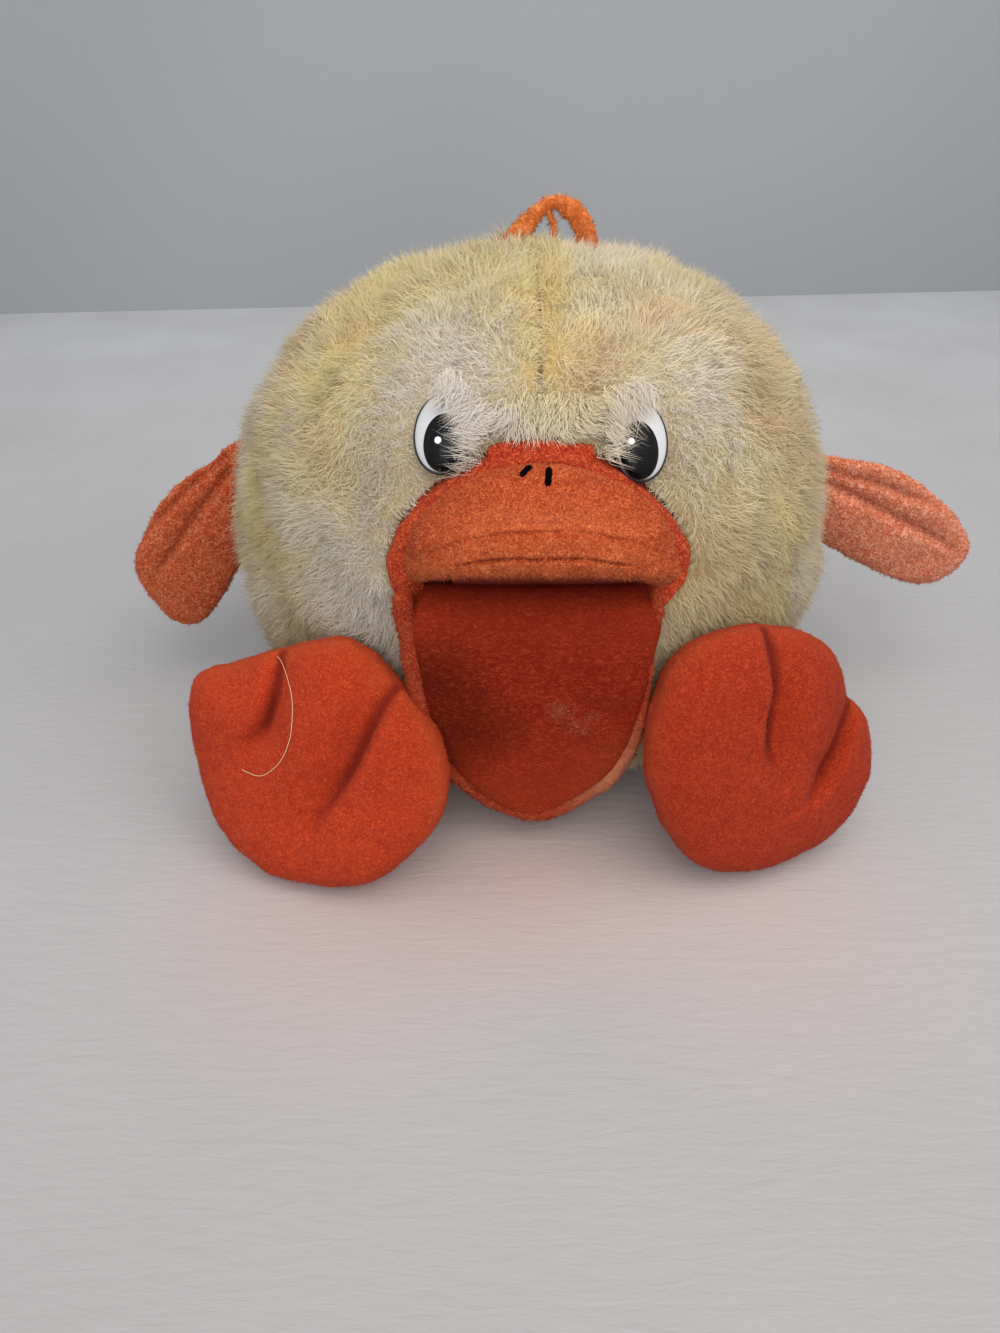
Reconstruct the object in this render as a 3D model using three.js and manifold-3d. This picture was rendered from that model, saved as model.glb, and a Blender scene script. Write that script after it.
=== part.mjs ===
// A plush duck hand puppet: a round furry ball with a long open bill, padded wings and feet, plastic
// eyes and a hanging loop. The hand goes in from behind, the fingers reach into the upper bill, and
// the palm presses the button of a small music box under the hand.
// Millimetres, +Z up. The duck faces -Y, so its own left side is at +X. The origin is the middle of
// the flat base that it sits on.
import * as THREE from "three";
import { mergeVertices } from "three/addons/utils/BufferGeometryUtils.js";
import Module from "manifold-3d";

const wasm = await Module();
wasm.setup();

// Clearances
const clothGap = 0.5; // between pieces of cloth or stuffing that are sewn or packed together
const seamGap = 0.4; // between two fur panels along a seam
const plasticGap = 0.3; // between plastic or metal pieces

// Ball body
const ballWidth = 224;
const ballDepth = 184;
const ballHeight = 218; // of the whole ball, before the base flattens it
const ballCentreZ = 97;
const ballSquareness = 2.25; // 2 is an ellipsoid, more is boxier
const ballSides = 32;
const ballRings = 16;
const furThickness = 7; // cloth backing and the dense part of the pile
const sideSeamY = 22; // the seam between front and back panels, where wings and loop are sewn in
const seatThickness = 3;

// Tunnel for the hand, and its lining
const tunnelWidth = 94;
const tunnelHeight = 62;
const tunnelCentreZ = 118;
const tunnelCorner = 22;
const sleeveWall = 1.4;
const hemRadius = 3.2;
const hemSink = 6; // how far the hem sits in from the back of the ball

// Mouth opening in the face: an arch, with its widest level above a shallow floor
const mouthHalfWidth = 50;
const mouthWidestZ = 126;
const mouthTopZ = 165;
const mouthBottomZ = 110;
const mouthBackY = -60;
const mouthArch = 1.65; // 2 is a half ellipse, less is more pointed
const collarWall = 2.4;
const collarReach = 4; // how far the collar stands out of the fur

// Upper bill, hinged at the brow
const billRootClearance = 1.5; // round its root, inside the collar
const billRootY = -81;
const billBrowY = -84; // where its top starts to rise in front of the brow
const billBrowLength = 6; // over which the top rises there
const billFlareY = -89; // from its root to here the bill's sides follow the collar
const billFlareLength = 6; // over which its sides fill out
const billArch = 2.4; // of the filled out bill, rounder than the mouth
const billFrontY = -130;
const billFrontHalfWidth = 38;
const billHiddenLength = 34; // behind its root, drawn and then cut off
const billStraightLength = 6; // in front of its root, with straight sides
const billShoulderLength = 24; // in front of its root, where its sides have turned inwards
const billShoulderHalfWidth = 44;
const billTopZ = 164.5;
const billClimbRate = 0.872; // of the seam between cover and lip, towards the front
const billClimbY = -89.3; // where the seam starts to climb
const billCoverWall = 2.2;
const billPalateDepth = 6; // from the seam plane down to the face of the palate
const billPalateWall = 2;
const palateInset = 2; // from the lip, measured towards the middle
const lipEndRadius = 3.3;
const lipFrontRadius = 6;
const lipInset = 4; // from the edge of the cover to the middle of the lip
const lipEndY = -94; // the lip runs from here round the front
const fingerPocketHalfWidth = 21;
const fingerPocketBottomZ = 143.5;
const fingerPocketTopZ = 154;
const fingerPocketEndY = -110;

// Nostril stitches on the upper bill
const nostrilMiddleX = -1.5;
const nostrilHalfGap = 3.8;
const nostrilFrontY = -103;
const nostrilLength = 9;
const nostrilRadius = 0.9;
const nostrilLift = 0.6; // off the crest of the bill

// Lower bill, a padded flap that hangs down the belly from the chin
const jawTopZ = 117;
const jawTipZ = 19;
const jawHalfWidth = 34.5;
const jawThickness = 9;
const jawCoverWall = 1.8;
const jawFoamInset = 1.6;
const jawRimRadius = 3.2;
const jawRimClearance = 1.4; // measured from the middle, so less than this at the corners
const jawTuck = 10; // how much further back the tip hangs than the hinge

// Oval safety eyes
const eyeX = 31.4;
const eyeZ = 166.5;
const eyeHalfWidth = 8.7;
const eyeHalfHeight = 12.3;
const eyeBaseThickness = 1.6;
const eyeBaseMargin = 0.8; // how far the black base shows round the white
const eyeWhiteThickness = 2.4;
const pupilHalfWidth = 6.6;
const pupilHalfHeight = 9.6;
const pupilThickness = 0.9;
const pupilInset = 1; // towards the bill, from the middle of the eye
const pupilDrop = 2.2; // below the middle of the eye
const eyeSeat = 0.4; // the base stands this far off the fur
const eyePostRadius = 2.2;
const eyePostLength = 11;
const eyeWasherRadius = 6.5;
const eyeWasherThickness = 1.4;
const eyeWasherDrop = 1.7; // below the flat of the cloth, for its curve

// Wings: padded, with two sewn channels each, in the side seam
const wingHalfThickness = 7;
const wingCoverWall = 1.6;
const wingChannelDepth = 0.4;
const wingChannelWidth = 5;
const wingSeat = -0.2; // of the sewn edge, from the ball's true curve, which the flats lie inside

// Feet: fans of three toes that lean back and toe out, each on a short padded leg
const footFrontHeight = 16; // crown of the sole face
const footBackHeight = 13;
const footCoverWall = 1.8;
const footLean = 14; // degrees back from upright
const footToeOut = 20; // degrees
const footMiddleX = 12; // of the padding, outward from the heel and up it
const footMiddleUp = 50;
const footX = 77;
const footHeelY = -110;
const toeCreaseDepth = 0.34;
const toeCreaseWidth = 6.5;
const legRadius = 13;
const legUpFoot = 28; // from the heel up to where the leg joins
const legX = 56; // where on the belly the leg is sewn
const legZ = 36;
const legSeat = 0.3; // between the leg's rounded end and the fur

// Hanging loop on the crown
const loopHalfSpan = 16;
const loopRise = 15;
const loopHalfWidth = 3;
const loopHalfThickness = 1.4;
const loopX = 5;
const loopSeat = 0.1; // between a hem and the ball's true curve

// Music box under the palm
const boxRadius = 23;
const boxWall = 1.6;
const boxHeight = 22;
const boxCupHeight = 14;
const boxY = 14;
const buttonRadius = 8;
const buttonStand = 3; // how far the button stands above the lid
const buttonFlange = 1.6; // how far its flange reaches past the cap
const buttonFlangeThickness = 1.4;
const boardRadius = 17.5;
const boardThickness = 1.2;
const cellRadius = 5.8;
const cellHeight = 5.4;
const cellCircle = 10.5; // from the middle of the box to the middle of a cell
const cellCount = 3;
const speakerRadius = 14;
const speakerDepth = 3.2;
const magnetRadius = 7;
const magnetDepth = 1.8;
const screwRadius = 1;
const screwHeadRadius = 1.9;
const screwCircle = 19.2;
const bossRadius = 2.3;
const pouchWall = 1.2;
const grilleRadius = 1.6;
const grilleCircle = 7;

// Colours
const colours = {
  fur: 0xe6dcb8,
  seat: 0xe8dfc4,
  filling: 0xf4f2ec,
  lining: 0xe9dfc2,
  velour: 0xe2622f,
  mouth: 0xb93a20,
  thread: 0x1a1514,
  white: 0xf2f2f0,
  black: 0x0c0c0e,
  clear: 0xd8d8d2,
  loop: 0xee7a2c,
  foam: 0xf1ead6,
  plastic: 0xf0efe9,
  button: 0xd43a2a,
  board: 0x2f6b3c,
  steel: 0xb8babd,
  rubber: 0x4b4b4d,
};

function material(name, roughness = 0.9, metalness = 0) {
  return new THREE.MeshStandardMaterial({ color: colours[name], roughness, metalness });
}

// A closed geometry as a solid that can be cut and joined, and back again.
function toSolid(geometry) {
  const bare = geometry.index ? geometry.toNonIndexed() : geometry.clone();
  bare.deleteAttribute("normal");
  bare.deleteAttribute("uv");
  const merged = mergeVertices(bare, 1e-3);
  return new wasm.Manifold(
    new wasm.Mesh({
      numProp: 3,
      vertProperties: merged.attributes.position.array,
      triVerts: new Uint32Array(merged.index.array),
    }),
  );
}

function toGeometry(solid) {
  const mesh = solid.getMesh();
  const places = new Float32Array(mesh.numVert * 3);
  for (let i = 0; i < mesh.numVert; i++) {
    places.set(mesh.vertProperties.subarray(i * mesh.numProp, i * mesh.numProp + 3), i * 3);
  }
  const geometry = new THREE.BufferGeometry();
  geometry.setAttribute("position", new THREE.BufferAttribute(places, 3));
  geometry.setIndex(new THREE.BufferAttribute(new Uint32Array(mesh.triVerts), 1));
  geometry.computeVertexNormals();
  return geometry;
}

function solidMesh(name, shape, finish) {
  const geometry = shape.isBufferGeometry ? shape : toGeometry(shape);
  const mesh = new THREE.Mesh(geometry, finish);
  mesh.name = name;
  return mesh;
}

function boxBetween(low, high) {
  const size = high.map((value, axis) => value - low[axis]);
  const geometry = new THREE.BoxGeometry(...size);
  geometry.translate(...low.map((value, axis) => value + size[axis] / 2));
  return toSolid(geometry);
}

// A cylinder along Z from z = low to z = high.
function rod(radius, low, high, x = 0, y = 0, sides = 18) {
  const geometry = new THREE.CylinderGeometry(radius, radius, high - low, sides);
  geometry.rotateX(Math.PI / 2);
  geometry.translate(x, y, (low + high) / 2);
  return toSolid(geometry);
}

// A closed curve through hand-chosen points, as an even run of [x, y] pairs.
function smoothOutline(points, count) {
  const curve = new THREE.CatmullRomCurve3(
    points.map(([x, y]) => new THREE.Vector3(x, y, 0)),
    true,
    "centripetal",
  );
  const found = [];
  for (let i = 0; i < count; i++) {
    const point = curve.getPointAt(i / count);
    found.push([point.x, point.y]);
  }
  return found;
}

function polygonArea(points) {
  return points.reduce((sum, [x, y], i) => {
    const [nextX, nextY] = points[(i + 1) % points.length];
    return sum + (x * nextY - nextX * y) / 2;
  }, 0);
}

// A plate between two levels with a closed outline of [x, y] pairs.
function plate(outline, low, high) {
  const shape = new THREE.Shape(outline.map(([x, y]) => new THREE.Vector2(x, y)));
  const geometry = new THREE.ExtrudeGeometry(shape, { depth: high - low, bevelEnabled: false });
  geometry.translate(0, 0, low);
  return toSolid(geometry);
}

function roundedRectangle(halfWidth, halfHeight, corner, steps = 5) {
  const outline = [];
  const corners = [
    [1, 1, 0],
    [-1, 1, 1],
    [-1, -1, 2],
    [1, -1, 3],
  ];
  for (const [sideX, sideY, quarter] of corners) {
    for (let i = 0; i <= steps; i++) {
      const angle = ((quarter + i / steps) * Math.PI) / 2;
      outline.push([
        sideX * (halfWidth - corner) + corner * Math.cos(angle),
        sideY * (halfHeight - corner) + corner * Math.sin(angle),
      ]);
    }
  }
  return outline;
}

// A bar along Y whose section, seen from the front, is an outline of [x, z] pairs.
function barAlongY(outline, lowY, highY) {
  const shape = new THREE.Shape(outline.map(([x, z]) => new THREE.Vector2(x, z)));
  const geometry = new THREE.ExtrudeGeometry(shape, { depth: highY - lowY, bevelEnabled: false });
  geometry.rotateX(Math.PI / 2);
  geometry.translate(0, highY, 0);
  return toSolid(geometry);
}

// A round tube along a list of points, with closed flat ends, or joined end to end.
function sweptTube(points, radius, sides = 8, closed = false) {
  const places = [];
  const faces = [];
  const count = points.length;
  const across = new THREE.Vector3();
  const upward = new THREE.Vector3();
  points.forEach((point, i) => {
    const before = points[closed ? (i + count - 1) % count : Math.max(i - 1, 0)];
    const after = points[closed ? (i + 1) % count : Math.min(i + 1, count - 1)];
    const along = after.clone().sub(before).normalize();
    if (i === 0) {
      upward.set(0, 0, 1);
      if (Math.abs(along.z) > 0.9) {
        upward.set(0, 1, 0);
      }
    }
    across.crossVectors(along, upward).normalize();
    upward.crossVectors(across, along).normalize();
    const reach = typeof radius === "function" ? radius(point) : radius;
    for (let k = 0; k < sides; k++) {
      const angle = (k / sides) * 2 * Math.PI;
      const place = point
        .clone()
        .addScaledVector(across, reach * Math.cos(angle))
        .addScaledVector(upward, reach * Math.sin(angle));
      places.push(place.x, place.y, place.z);
    }
  });
  const last = closed ? count : count - 1;
  for (let i = 0; i < last; i++) {
    const next = (i + 1) % count;
    for (let k = 0; k < sides; k++) {
      const side = (k + 1) % sides;
      faces.push(i * sides + k, i * sides + side, next * sides + k);
      faces.push(i * sides + side, next * sides + side, next * sides + k);
    }
  }
  if (!closed) {
    for (let k = 1; k < sides - 1; k++) {
      faces.push(0, k + 1, k);
      const end = (count - 1) * sides;
      faces.push(end, end + k, end + k + 1);
    }
  }
  const geometry = new THREE.BufferGeometry();
  geometry.setAttribute("position", new THREE.Float32BufferAttribute(places, 3));
  geometry.setIndex(faces);
  const made = toSolid(geometry);
  if (made.volume() > 0) {
    return made;
  }
  for (let i = 0; i < faces.length; i += 3) {
    [faces[i + 1], faces[i + 2]] = [faces[i + 2], faces[i + 1]];
  }
  geometry.setIndex(faces);
  return toSolid(geometry);
}

// A stuffed pillow: rings from a middle point out to the outline, crowned on both faces.
// front and back give the height above and below the seam plane for a place and its share of the
// way out, from 0 in the middle to 1 at the seam.
function pillow(outline, middle, front, back, shares) {
  const places = [];
  const faces = [];
  const count = outline.length;
  const turn = polygonArea(outline) > 0 ? 1 : -1;
  const inner = shares.slice(0, -1);
  const addRings = (height, sign) => {
    const start = places.length / 3;
    places.push(middle[0], middle[1], sign * height(middle[0], middle[1], 0));
    for (const share of inner.slice(1)) {
      for (const [x, y] of outline) {
        const placeX = middle[0] + share * (x - middle[0]);
        const placeY = middle[1] + share * (y - middle[1]);
        places.push(placeX, placeY, sign * height(placeX, placeY, share));
      }
    }
    return start;
  };
  const frontStart = addRings(front, 1);
  const backStart = addRings(back, -1);
  const rimStart = places.length / 3;
  for (const [x, y] of outline) {
    places.push(x, y, 0);
  }
  const rings = inner.length - 1;
  const addFaces = (start, sign) => {
    const put = (a, b, c) => (sign * turn > 0 ? faces.push(a, b, c) : faces.push(a, c, b));
    for (let i = 0; i < count; i++) {
      const next = (i + 1) % count;
      put(start, start + 1 + i, start + 1 + next);
      for (let ring = 0; ring < rings; ring++) {
        const near = start + 1 + ring * count;
        const far = ring === rings - 1 ? rimStart : near + count;
        put(near + i, far + i, far + next);
        put(near + i, far + next, near + next);
      }
    }
  };
  addFaces(frontStart, 1);
  addFaces(backStart, -1);
  const geometry = new THREE.BufferGeometry();
  geometry.setAttribute("position", new THREE.Float32BufferAttribute(places, 3));
  geometry.setIndex(faces);
  return toSolid(geometry);
}

function crown(share, fullness = 2.4) {
  return Math.pow(Math.max(0, 1 - Math.pow(share, fullness)), 1 / 2);
}

function arch(share, power) {
  return Math.pow(Math.max(0, 1 - Math.pow(share, power)), 1 / power);
}

function distanceToPath(x, y, path) {
  let least = Infinity;
  for (let i = 0; i < path.length - 1; i++) {
    const [x0, y0] = path[i];
    const [x1, y1] = path[i + 1];
    const lengthSquared = (x1 - x0) ** 2 + (y1 - y0) ** 2;
    const along = ((x - x0) * (x1 - x0) + (y - y0) * (y1 - y0)) / lengthSquared;
    const share = Math.min(1, Math.max(0, along));
    least = Math.min(least, Math.hypot(x - x0 - share * (x1 - x0), y - y0 - share * (y1 - y0)));
  }
  return least;
}

function creased(x, y, creases, depth, width) {
  const pinch = creases.reduce(
    (most, path) => Math.max(most, Math.exp(-((distanceToPath(x, y, path) / width) ** 2))),
    0,
  );
  return 1 - depth * pinch;
}

function shrunkOutline(outline, middle, amount) {
  return outline.map(([x, y]) => {
    const reach = Math.hypot(x - middle[0], y - middle[1]);
    const share = (reach - amount) / reach;
    return [middle[0] + share * (x - middle[0]), middle[1] + share * (y - middle[1])];
  });
}

// Ball body: every surface of it is the same squared ellipsoid, drawn in by some inset.
function ballReach(direction, inset) {
  const share =
    Math.pow(Math.abs(direction.x) / (ballWidth / 2 - inset), ballSquareness) +
    Math.pow(Math.abs(direction.y) / (ballDepth / 2 - inset), ballSquareness) +
    Math.pow(Math.abs(direction.z) / (ballHeight / 2 - inset), ballSquareness);
  return Math.pow(share, -1 / ballSquareness);
}

function ballSolid(inset) {
  const geometry = new THREE.SphereGeometry(1, ballSides, ballRings);
  geometry.rotateX(Math.PI / 2);
  const places = geometry.attributes.position;
  const direction = new THREE.Vector3();
  for (let i = 0; i < places.count; i++) {
    direction.fromBufferAttribute(places, i).normalize();
    const reach = ballReach(direction, inset);
    places.setXYZ(
      i,
      direction.x * reach,
      direction.y * reach,
      direction.z * reach + ballCentreZ,
    );
  }
  return toSolid(geometry);
}

// The way out of the ball at a point of its front.
function ballNormal(x, y, z) {
  const slope = (value, reach) =>
    (Math.sign(value) * Math.pow(Math.abs(value), ballSquareness - 1)) /
    Math.pow(reach, ballSquareness);
  return new THREE.Vector3(
    slope(x, ballWidth / 2),
    slope(y, ballDepth / 2),
    slope(z - ballCentreZ, ballHeight / 2),
  ).normalize();
}

// The y of the front of the ball, and the x of its side, at a height.
function ballFrontY(x, z, inset = 0) {
  const used =
    Math.pow(Math.abs(x) / (ballWidth / 2 - inset), ballSquareness) +
    Math.pow(Math.abs(z - ballCentreZ) / (ballHeight / 2 - inset), ballSquareness);
  return -(ballDepth / 2 - inset) * Math.pow(Math.max(0, 1 - used), 1 / ballSquareness);
}

function ballSideX(y, z, inset = 0) {
  const used =
    Math.pow(Math.abs(y) / (ballDepth / 2 - inset), ballSquareness) +
    Math.pow(Math.abs(z - ballCentreZ) / (ballHeight / 2 - inset), ballSquareness);
  return (ballWidth / 2 - inset) * Math.pow(Math.max(0, 1 - used), 1 / ballSquareness);
}

function ballTopZ(x, y, inset = 0) {
  const used =
    Math.pow(Math.abs(x) / (ballWidth / 2 - inset), ballSquareness) +
    Math.pow(Math.abs(y) / (ballDepth / 2 - inset), ballSquareness);
  return (
    ballCentreZ + (ballHeight / 2 - inset) * Math.pow(Math.max(0, 1 - used), 1 / ballSquareness)
  );
}

const far = ballWidth + ballDepth; // well outside the duck, for cutting blocks

// Openings through the ball
function mouthOutline(growth) {
  const halfWidth = mouthHalfWidth + growth;
  const rise = mouthTopZ - mouthWidestZ + growth;
  const fall = mouthWidestZ - mouthBottomZ + growth;
  const steps = 28;
  const outline = [];
  for (let i = 0; i < steps; i++) {
    const angle = (i / steps) * 2 * Math.PI;
    const above = Math.sin(angle) >= 0;
    const power = 2 / (above ? mouthArch : 2.8);
    outline.push([
      halfWidth * Math.sign(Math.cos(angle)) * Math.pow(Math.abs(Math.cos(angle)), power),
      mouthWidestZ + (above ? rise : -fall) * Math.pow(Math.abs(Math.sin(angle)), power),
    ]);
  }
  return outline;
}

function tunnelOutline(growth) {
  return roundedRectangle(
    tunnelWidth / 2 + growth,
    tunnelHeight / 2 + growth,
    tunnelCorner + growth,
  ).map(([x, z]) => [x, z + tunnelCentreZ]);
}

const mouthHole = barAlongY(mouthOutline(clothGap), -far, mouthBackY - clothGap);
const tunnelHole = barAlongY(tunnelOutline(clothGap), mouthBackY - 2 * clothGap, far);
const seatTop = seatThickness + clothGap;
const belowSeatTop = boxBetween([-far, -far, -far], [far, far, seatTop]);

// Eyes: each is drawn in a frame of its own, with Z out of the face.
function eyeFrame(side) {
  const surfaceY = ballFrontY(eyeX, eyeZ);
  const step = 0.5;
  const slopeX = (ballFrontY(eyeX + step, eyeZ) - surfaceY) / step;
  const slopeZ = (ballFrontY(eyeX, eyeZ + step) - surfaceY) / step;
  const outward = new THREE.Vector3(side * slopeX, -1, slopeZ).normalize();
  const across = new THREE.Vector3().crossVectors(new THREE.Vector3(0, 0, 1), outward);
  across.normalize();
  const upward = new THREE.Vector3().crossVectors(outward, across);
  const frame = new THREE.Matrix4().makeBasis(across, upward, outward);
  frame.setPosition(side * eyeX, surfaceY, eyeZ);
  return frame;
}

const sides = [
  ["left", 1],
  ["right", -1],
];

function framedPlate(frame, outline, low, high) {
  const shape = new THREE.Shape(outline.map(([x, y]) => new THREE.Vector2(x, y)));
  const geometry = new THREE.ExtrudeGeometry(shape, { depth: high - low, bevelEnabled: false });
  geometry.translate(0, 0, low);
  geometry.applyMatrix4(frame);
  return toSolid(geometry);
}

function oval(halfWidth, halfHeight, middleX = 0, steps = 20, middleY = 0) {
  const outline = [];
  for (let i = 0; i < steps; i++) {
    const angle = (i / steps) * 2 * Math.PI;
    outline.push([
      middleX + halfWidth * Math.cos(angle),
      middleY + halfHeight * Math.sin(angle),
    ]);
  }
  return outline;
}

function eyePieces() {
  const washerLow = -furThickness - eyeWasherDrop - eyeWasherThickness;
  return sides.flatMap(([name, side]) => {
    const frame = eyeFrame(side);
    const whiteLow = eyeSeat + eyeBaseThickness + plasticGap;
    const pupilLow = whiteLow + eyeWhiteThickness + plasticGap;
    const baseOval = oval(eyeHalfWidth + eyeBaseMargin, eyeHalfHeight + eyeBaseMargin);
    const post = framedPlate(frame, oval(eyePostRadius, eyePostRadius, 0, 12), -eyePostLength, 1);
    const base = framedPlate(frame, baseOval, eyeSeat, eyeSeat + eyeBaseThickness).add(post);
    const white = framedPlate(
      frame,
      oval(eyeHalfWidth, eyeHalfHeight),
      whiteLow,
      whiteLow + eyeWhiteThickness,
    );
    const pupil = framedPlate(
      frame,
      oval(pupilHalfWidth, pupilHalfHeight, -side * pupilInset, 20, -pupilDrop),
      pupilLow,
      pupilLow + pupilThickness,
    );
    const boreRadius = eyePostRadius + plasticGap;
    const washer = framedPlate(
      frame,
      oval(eyeWasherRadius, eyeWasherRadius, 0, 16),
      washerLow,
      washerLow + eyeWasherThickness,
    ).subtract(framedPlate(frame, oval(boreRadius, boreRadius, 0, 12), washerLow - 1, 0));
    return [
      solidMesh(`${name}_eye_base`, base, material("black", 0.3)),
      solidMesh(`${name}_eye_white`, white, material("white", 0.2)),
      solidMesh(`${name}_eye_pupil`, pupil, material("black", 0.12)),
      solidMesh(`${name}_eye_washer`, washer, material("clear", 0.4)),
    ];
  });
}

// Fur skin in four panels, the seat under it, and the stuffing
function furPanels() {
  let skin = ballSolid(0).subtract(ballSolid(furThickness));
  skin = skin.subtract(belowSeatTop).subtract(mouthHole).subtract(tunnelHole);
  const boreRadius = eyePostRadius + clothGap;
  for (const [, side] of sides) {
    const bore = oval(boreRadius, boreRadius, 0, 12);
    skin = skin.subtract(framedPlate(eyeFrame(side), bore, -2 * furThickness, furThickness));
  }
  const half = seamGap / 2;
  const quarters = [
    ["fur_front_left", [half, -far], [far, sideSeamY - half]],
    ["fur_front_right", [-far, -far], [-half, sideSeamY - half]],
    ["fur_back_left", [half, sideSeamY + half], [far, far]],
    ["fur_back_right", [-far, sideSeamY + half], [-half, far]],
  ];
  return quarters.map(([name, low, high]) =>
    solidMesh(
      name,
      skin.intersect(boxBetween([...low, -far], [...high, far])),
      material("fur", 1),
    ),
  );
}

function seatPanel() {
  const level = Math.pow(ballCentreZ / (ballHeight / 2), ballSquareness);
  const share = Math.pow(1 - level, 1 / ballSquareness);
  const outline = oval((ballWidth / 2) * share, (ballDepth / 2) * share, 0, ballSides);
  return solidMesh("seat_panel", plate(outline, 0, seatThickness), material("seat", 0.95));
}

// Levels of the music box, from the tunnel's floor down
const buttonTopZ = tunnelCentreZ - tunnelHeight / 2 - clothGap;
const boxTopZ = buttonTopZ - buttonStand;
const boxBaseZ = boxTopZ - boxHeight;

function bodyFill() {
  let fill = ballSolid(furThickness + clothGap).subtract(belowSeatTop);
  fill = fill.subtract(barAlongY(mouthOutline(2 * clothGap), -far, mouthBackY));
  fill = fill.subtract(barAlongY(tunnelOutline(2 * clothGap), mouthBackY - 3 * clothGap, far));
  const nook = oval(eyeWasherRadius + clothGap, eyeWasherRadius + clothGap, 0, 16);
  for (const [, side] of sides) {
    const frame = eyeFrame(side);
    fill = fill.subtract(framedPlate(frame, nook, -eyePostLength - clothGap, furThickness));
  }
  const pocketRadius = boxRadius + pouchWall + 2 * clothGap;
  const pocketBase = boxBaseZ - pouchWall - 2 * clothGap;
  fill = fill.subtract(rod(pocketRadius, pocketBase, tunnelCentreZ, 0, boxY, 24));
  return solidMesh("body_fill", fill, material("filling", 1));
}

// Lining of the hand tunnel, and the hem round its mouth at the back
const tunnelBackY = ballDepth / 2 - hemSink;

function tunnelPieces() {
  const outer = barAlongY(tunnelOutline(0), mouthBackY, tunnelBackY - hemRadius - clothGap);
  const inner = barAlongY(tunnelOutline(-sleeveWall), mouthBackY - 1, far);
  const points = tunnelOutline(-hemRadius).map(([x, z]) => new THREE.Vector3(x, tunnelBackY, z));
  return [
    solidMesh("hand_sleeve", outer.subtract(inner), material("lining", 0.95)),
    solidMesh("cuff_hem", sweptTube(points, hemRadius, 6, true), material("lining", 0.95)),
  ];
}

// Collar of the mouth, whose front edge follows the round face a little proud of the fur
function mouthCollar() {
  const outer = barAlongY(mouthOutline(0), -far, mouthBackY - clothGap);
  const inner = barAlongY(mouthOutline(-collarWall), -far, far);
  const collar = outer.subtract(inner).intersect(ballSolid(-collarReach));
  return solidMesh("mouth_collar", collar, material("velour", 0.95));
}

const padRings = [0, 0.4, 0.72, 0.92, 1];

// A padded shape: two covers that meet along a seam, and the filling between them. It is drawn
// flat, with the seam at zero, and then bent and placed. inner, if given, is the crown under the
// covers, which have sewn creases that the filling has not.
function paddedShape({ outline, middle, front, back, inner, wall, detail, shares = padRings }) {
  const outer = pillow(smoothOutline(outline, detail), middle, front, back, shares);
  const coarse = smoothOutline(outline, Math.round(detail * 0.72));
  const lowered = (height, share) => (x, y, out) => {
    const full = height(x, y, out);
    return share * (full - wall * Math.min(1, full / (3 * wall)));
  };
  const layer = (inset, share) =>
    pillow(
      shrunkOutline(coarse, middle, inset),
      middle,
      lowered(inner ?? front, share),
      lowered(inner ?? back, share),
      [0, 0.5, 0.85, 1],
    );
  const peak = (inner ?? back)(...middle, 0) - wall;
  const shell = outer.subtract(layer(wall, 1));
  const above = boxBetween([-far, -far, seamGap / 2], [far, far, far]);
  const below = boxBetween([-far, -far, -far], [far, far, -seamGap / 2]);
  return {
    frontCover: shell.intersect(above),
    backCover: shell.intersect(below),
    filling: layer(wall + clothGap, 1 - clothGap / peak),
  };
}

// Upper bill: its seam climbs from the mouth's corners to the lip, and its top from the brow.
const billRootHalfWidth = mouthHalfWidth - collarWall - billRootClearance;

function billSeamZ(y) {
  return mouthWidestZ + billClimbRate * Math.max(0, billClimbY - y);
}

function billCrestZ(y) {
  const rootZ = mouthTopZ - collarWall - billRootClearance;
  const left = Math.max(0, 1 - (billBrowY - y) / billBrowLength);
  return billTopZ - (billTopZ - rootZ) * Math.min(1, left * left);
}

const billMiddle = [0, billRootY - 11];

function billHeight(x, y, share) {
  const flare = Math.min(1, Math.max(0, (billFlareY - y) / billFlareLength));
  const power = mouthArch - 0.05 + flare * (billArch - mouthArch);
  return (billCrestZ(y) - billSeamZ(y)) * arch(share, power);
}

function billOutline() {
  const half = [
    [billRootHalfWidth, billRootY + billHiddenLength],
    [billRootHalfWidth, billRootY - billStraightLength],
    [billShoulderHalfWidth, billRootY - billShoulderLength],
    [billFrontHalfWidth, billFrontY + 16],
    [billFrontHalfWidth * 0.72, billFrontY + 6.5],
    [billFrontHalfWidth * 0.36, billFrontY + 1.5],
  ];
  return [...half, [0, billFrontY], ...half.map(([x, y]) => [-x, y]).reverse()];
}

function bent(solid, shift) {
  const geometry = toGeometry(solid);
  const places = geometry.attributes.position;
  for (let i = 0; i < places.count; i++) {
    const x = places.getX(i);
    const y = places.getY(i);
    places.setXYZ(i, x, y, places.getZ(i) + shift(x, y));
  }
  geometry.computeVertexNormals();
  return geometry;
}

// The bill's solids are made flat, then bent up from the line where its seam starts to climb.
function climbed(solid) {
  const climb = (x, y) => billSeamZ(y);
  const inFront = boxBetween([-far, -far, -far], [far, billClimbY, far]);
  const behind = boxBetween([-far, billClimbY, -far], [far, far, far]);
  const halves = [inFront, behind].map((half) => toSolid(bent(solid.intersect(half), climb)));
  return halves[0].add(halves[1]);
}

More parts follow.
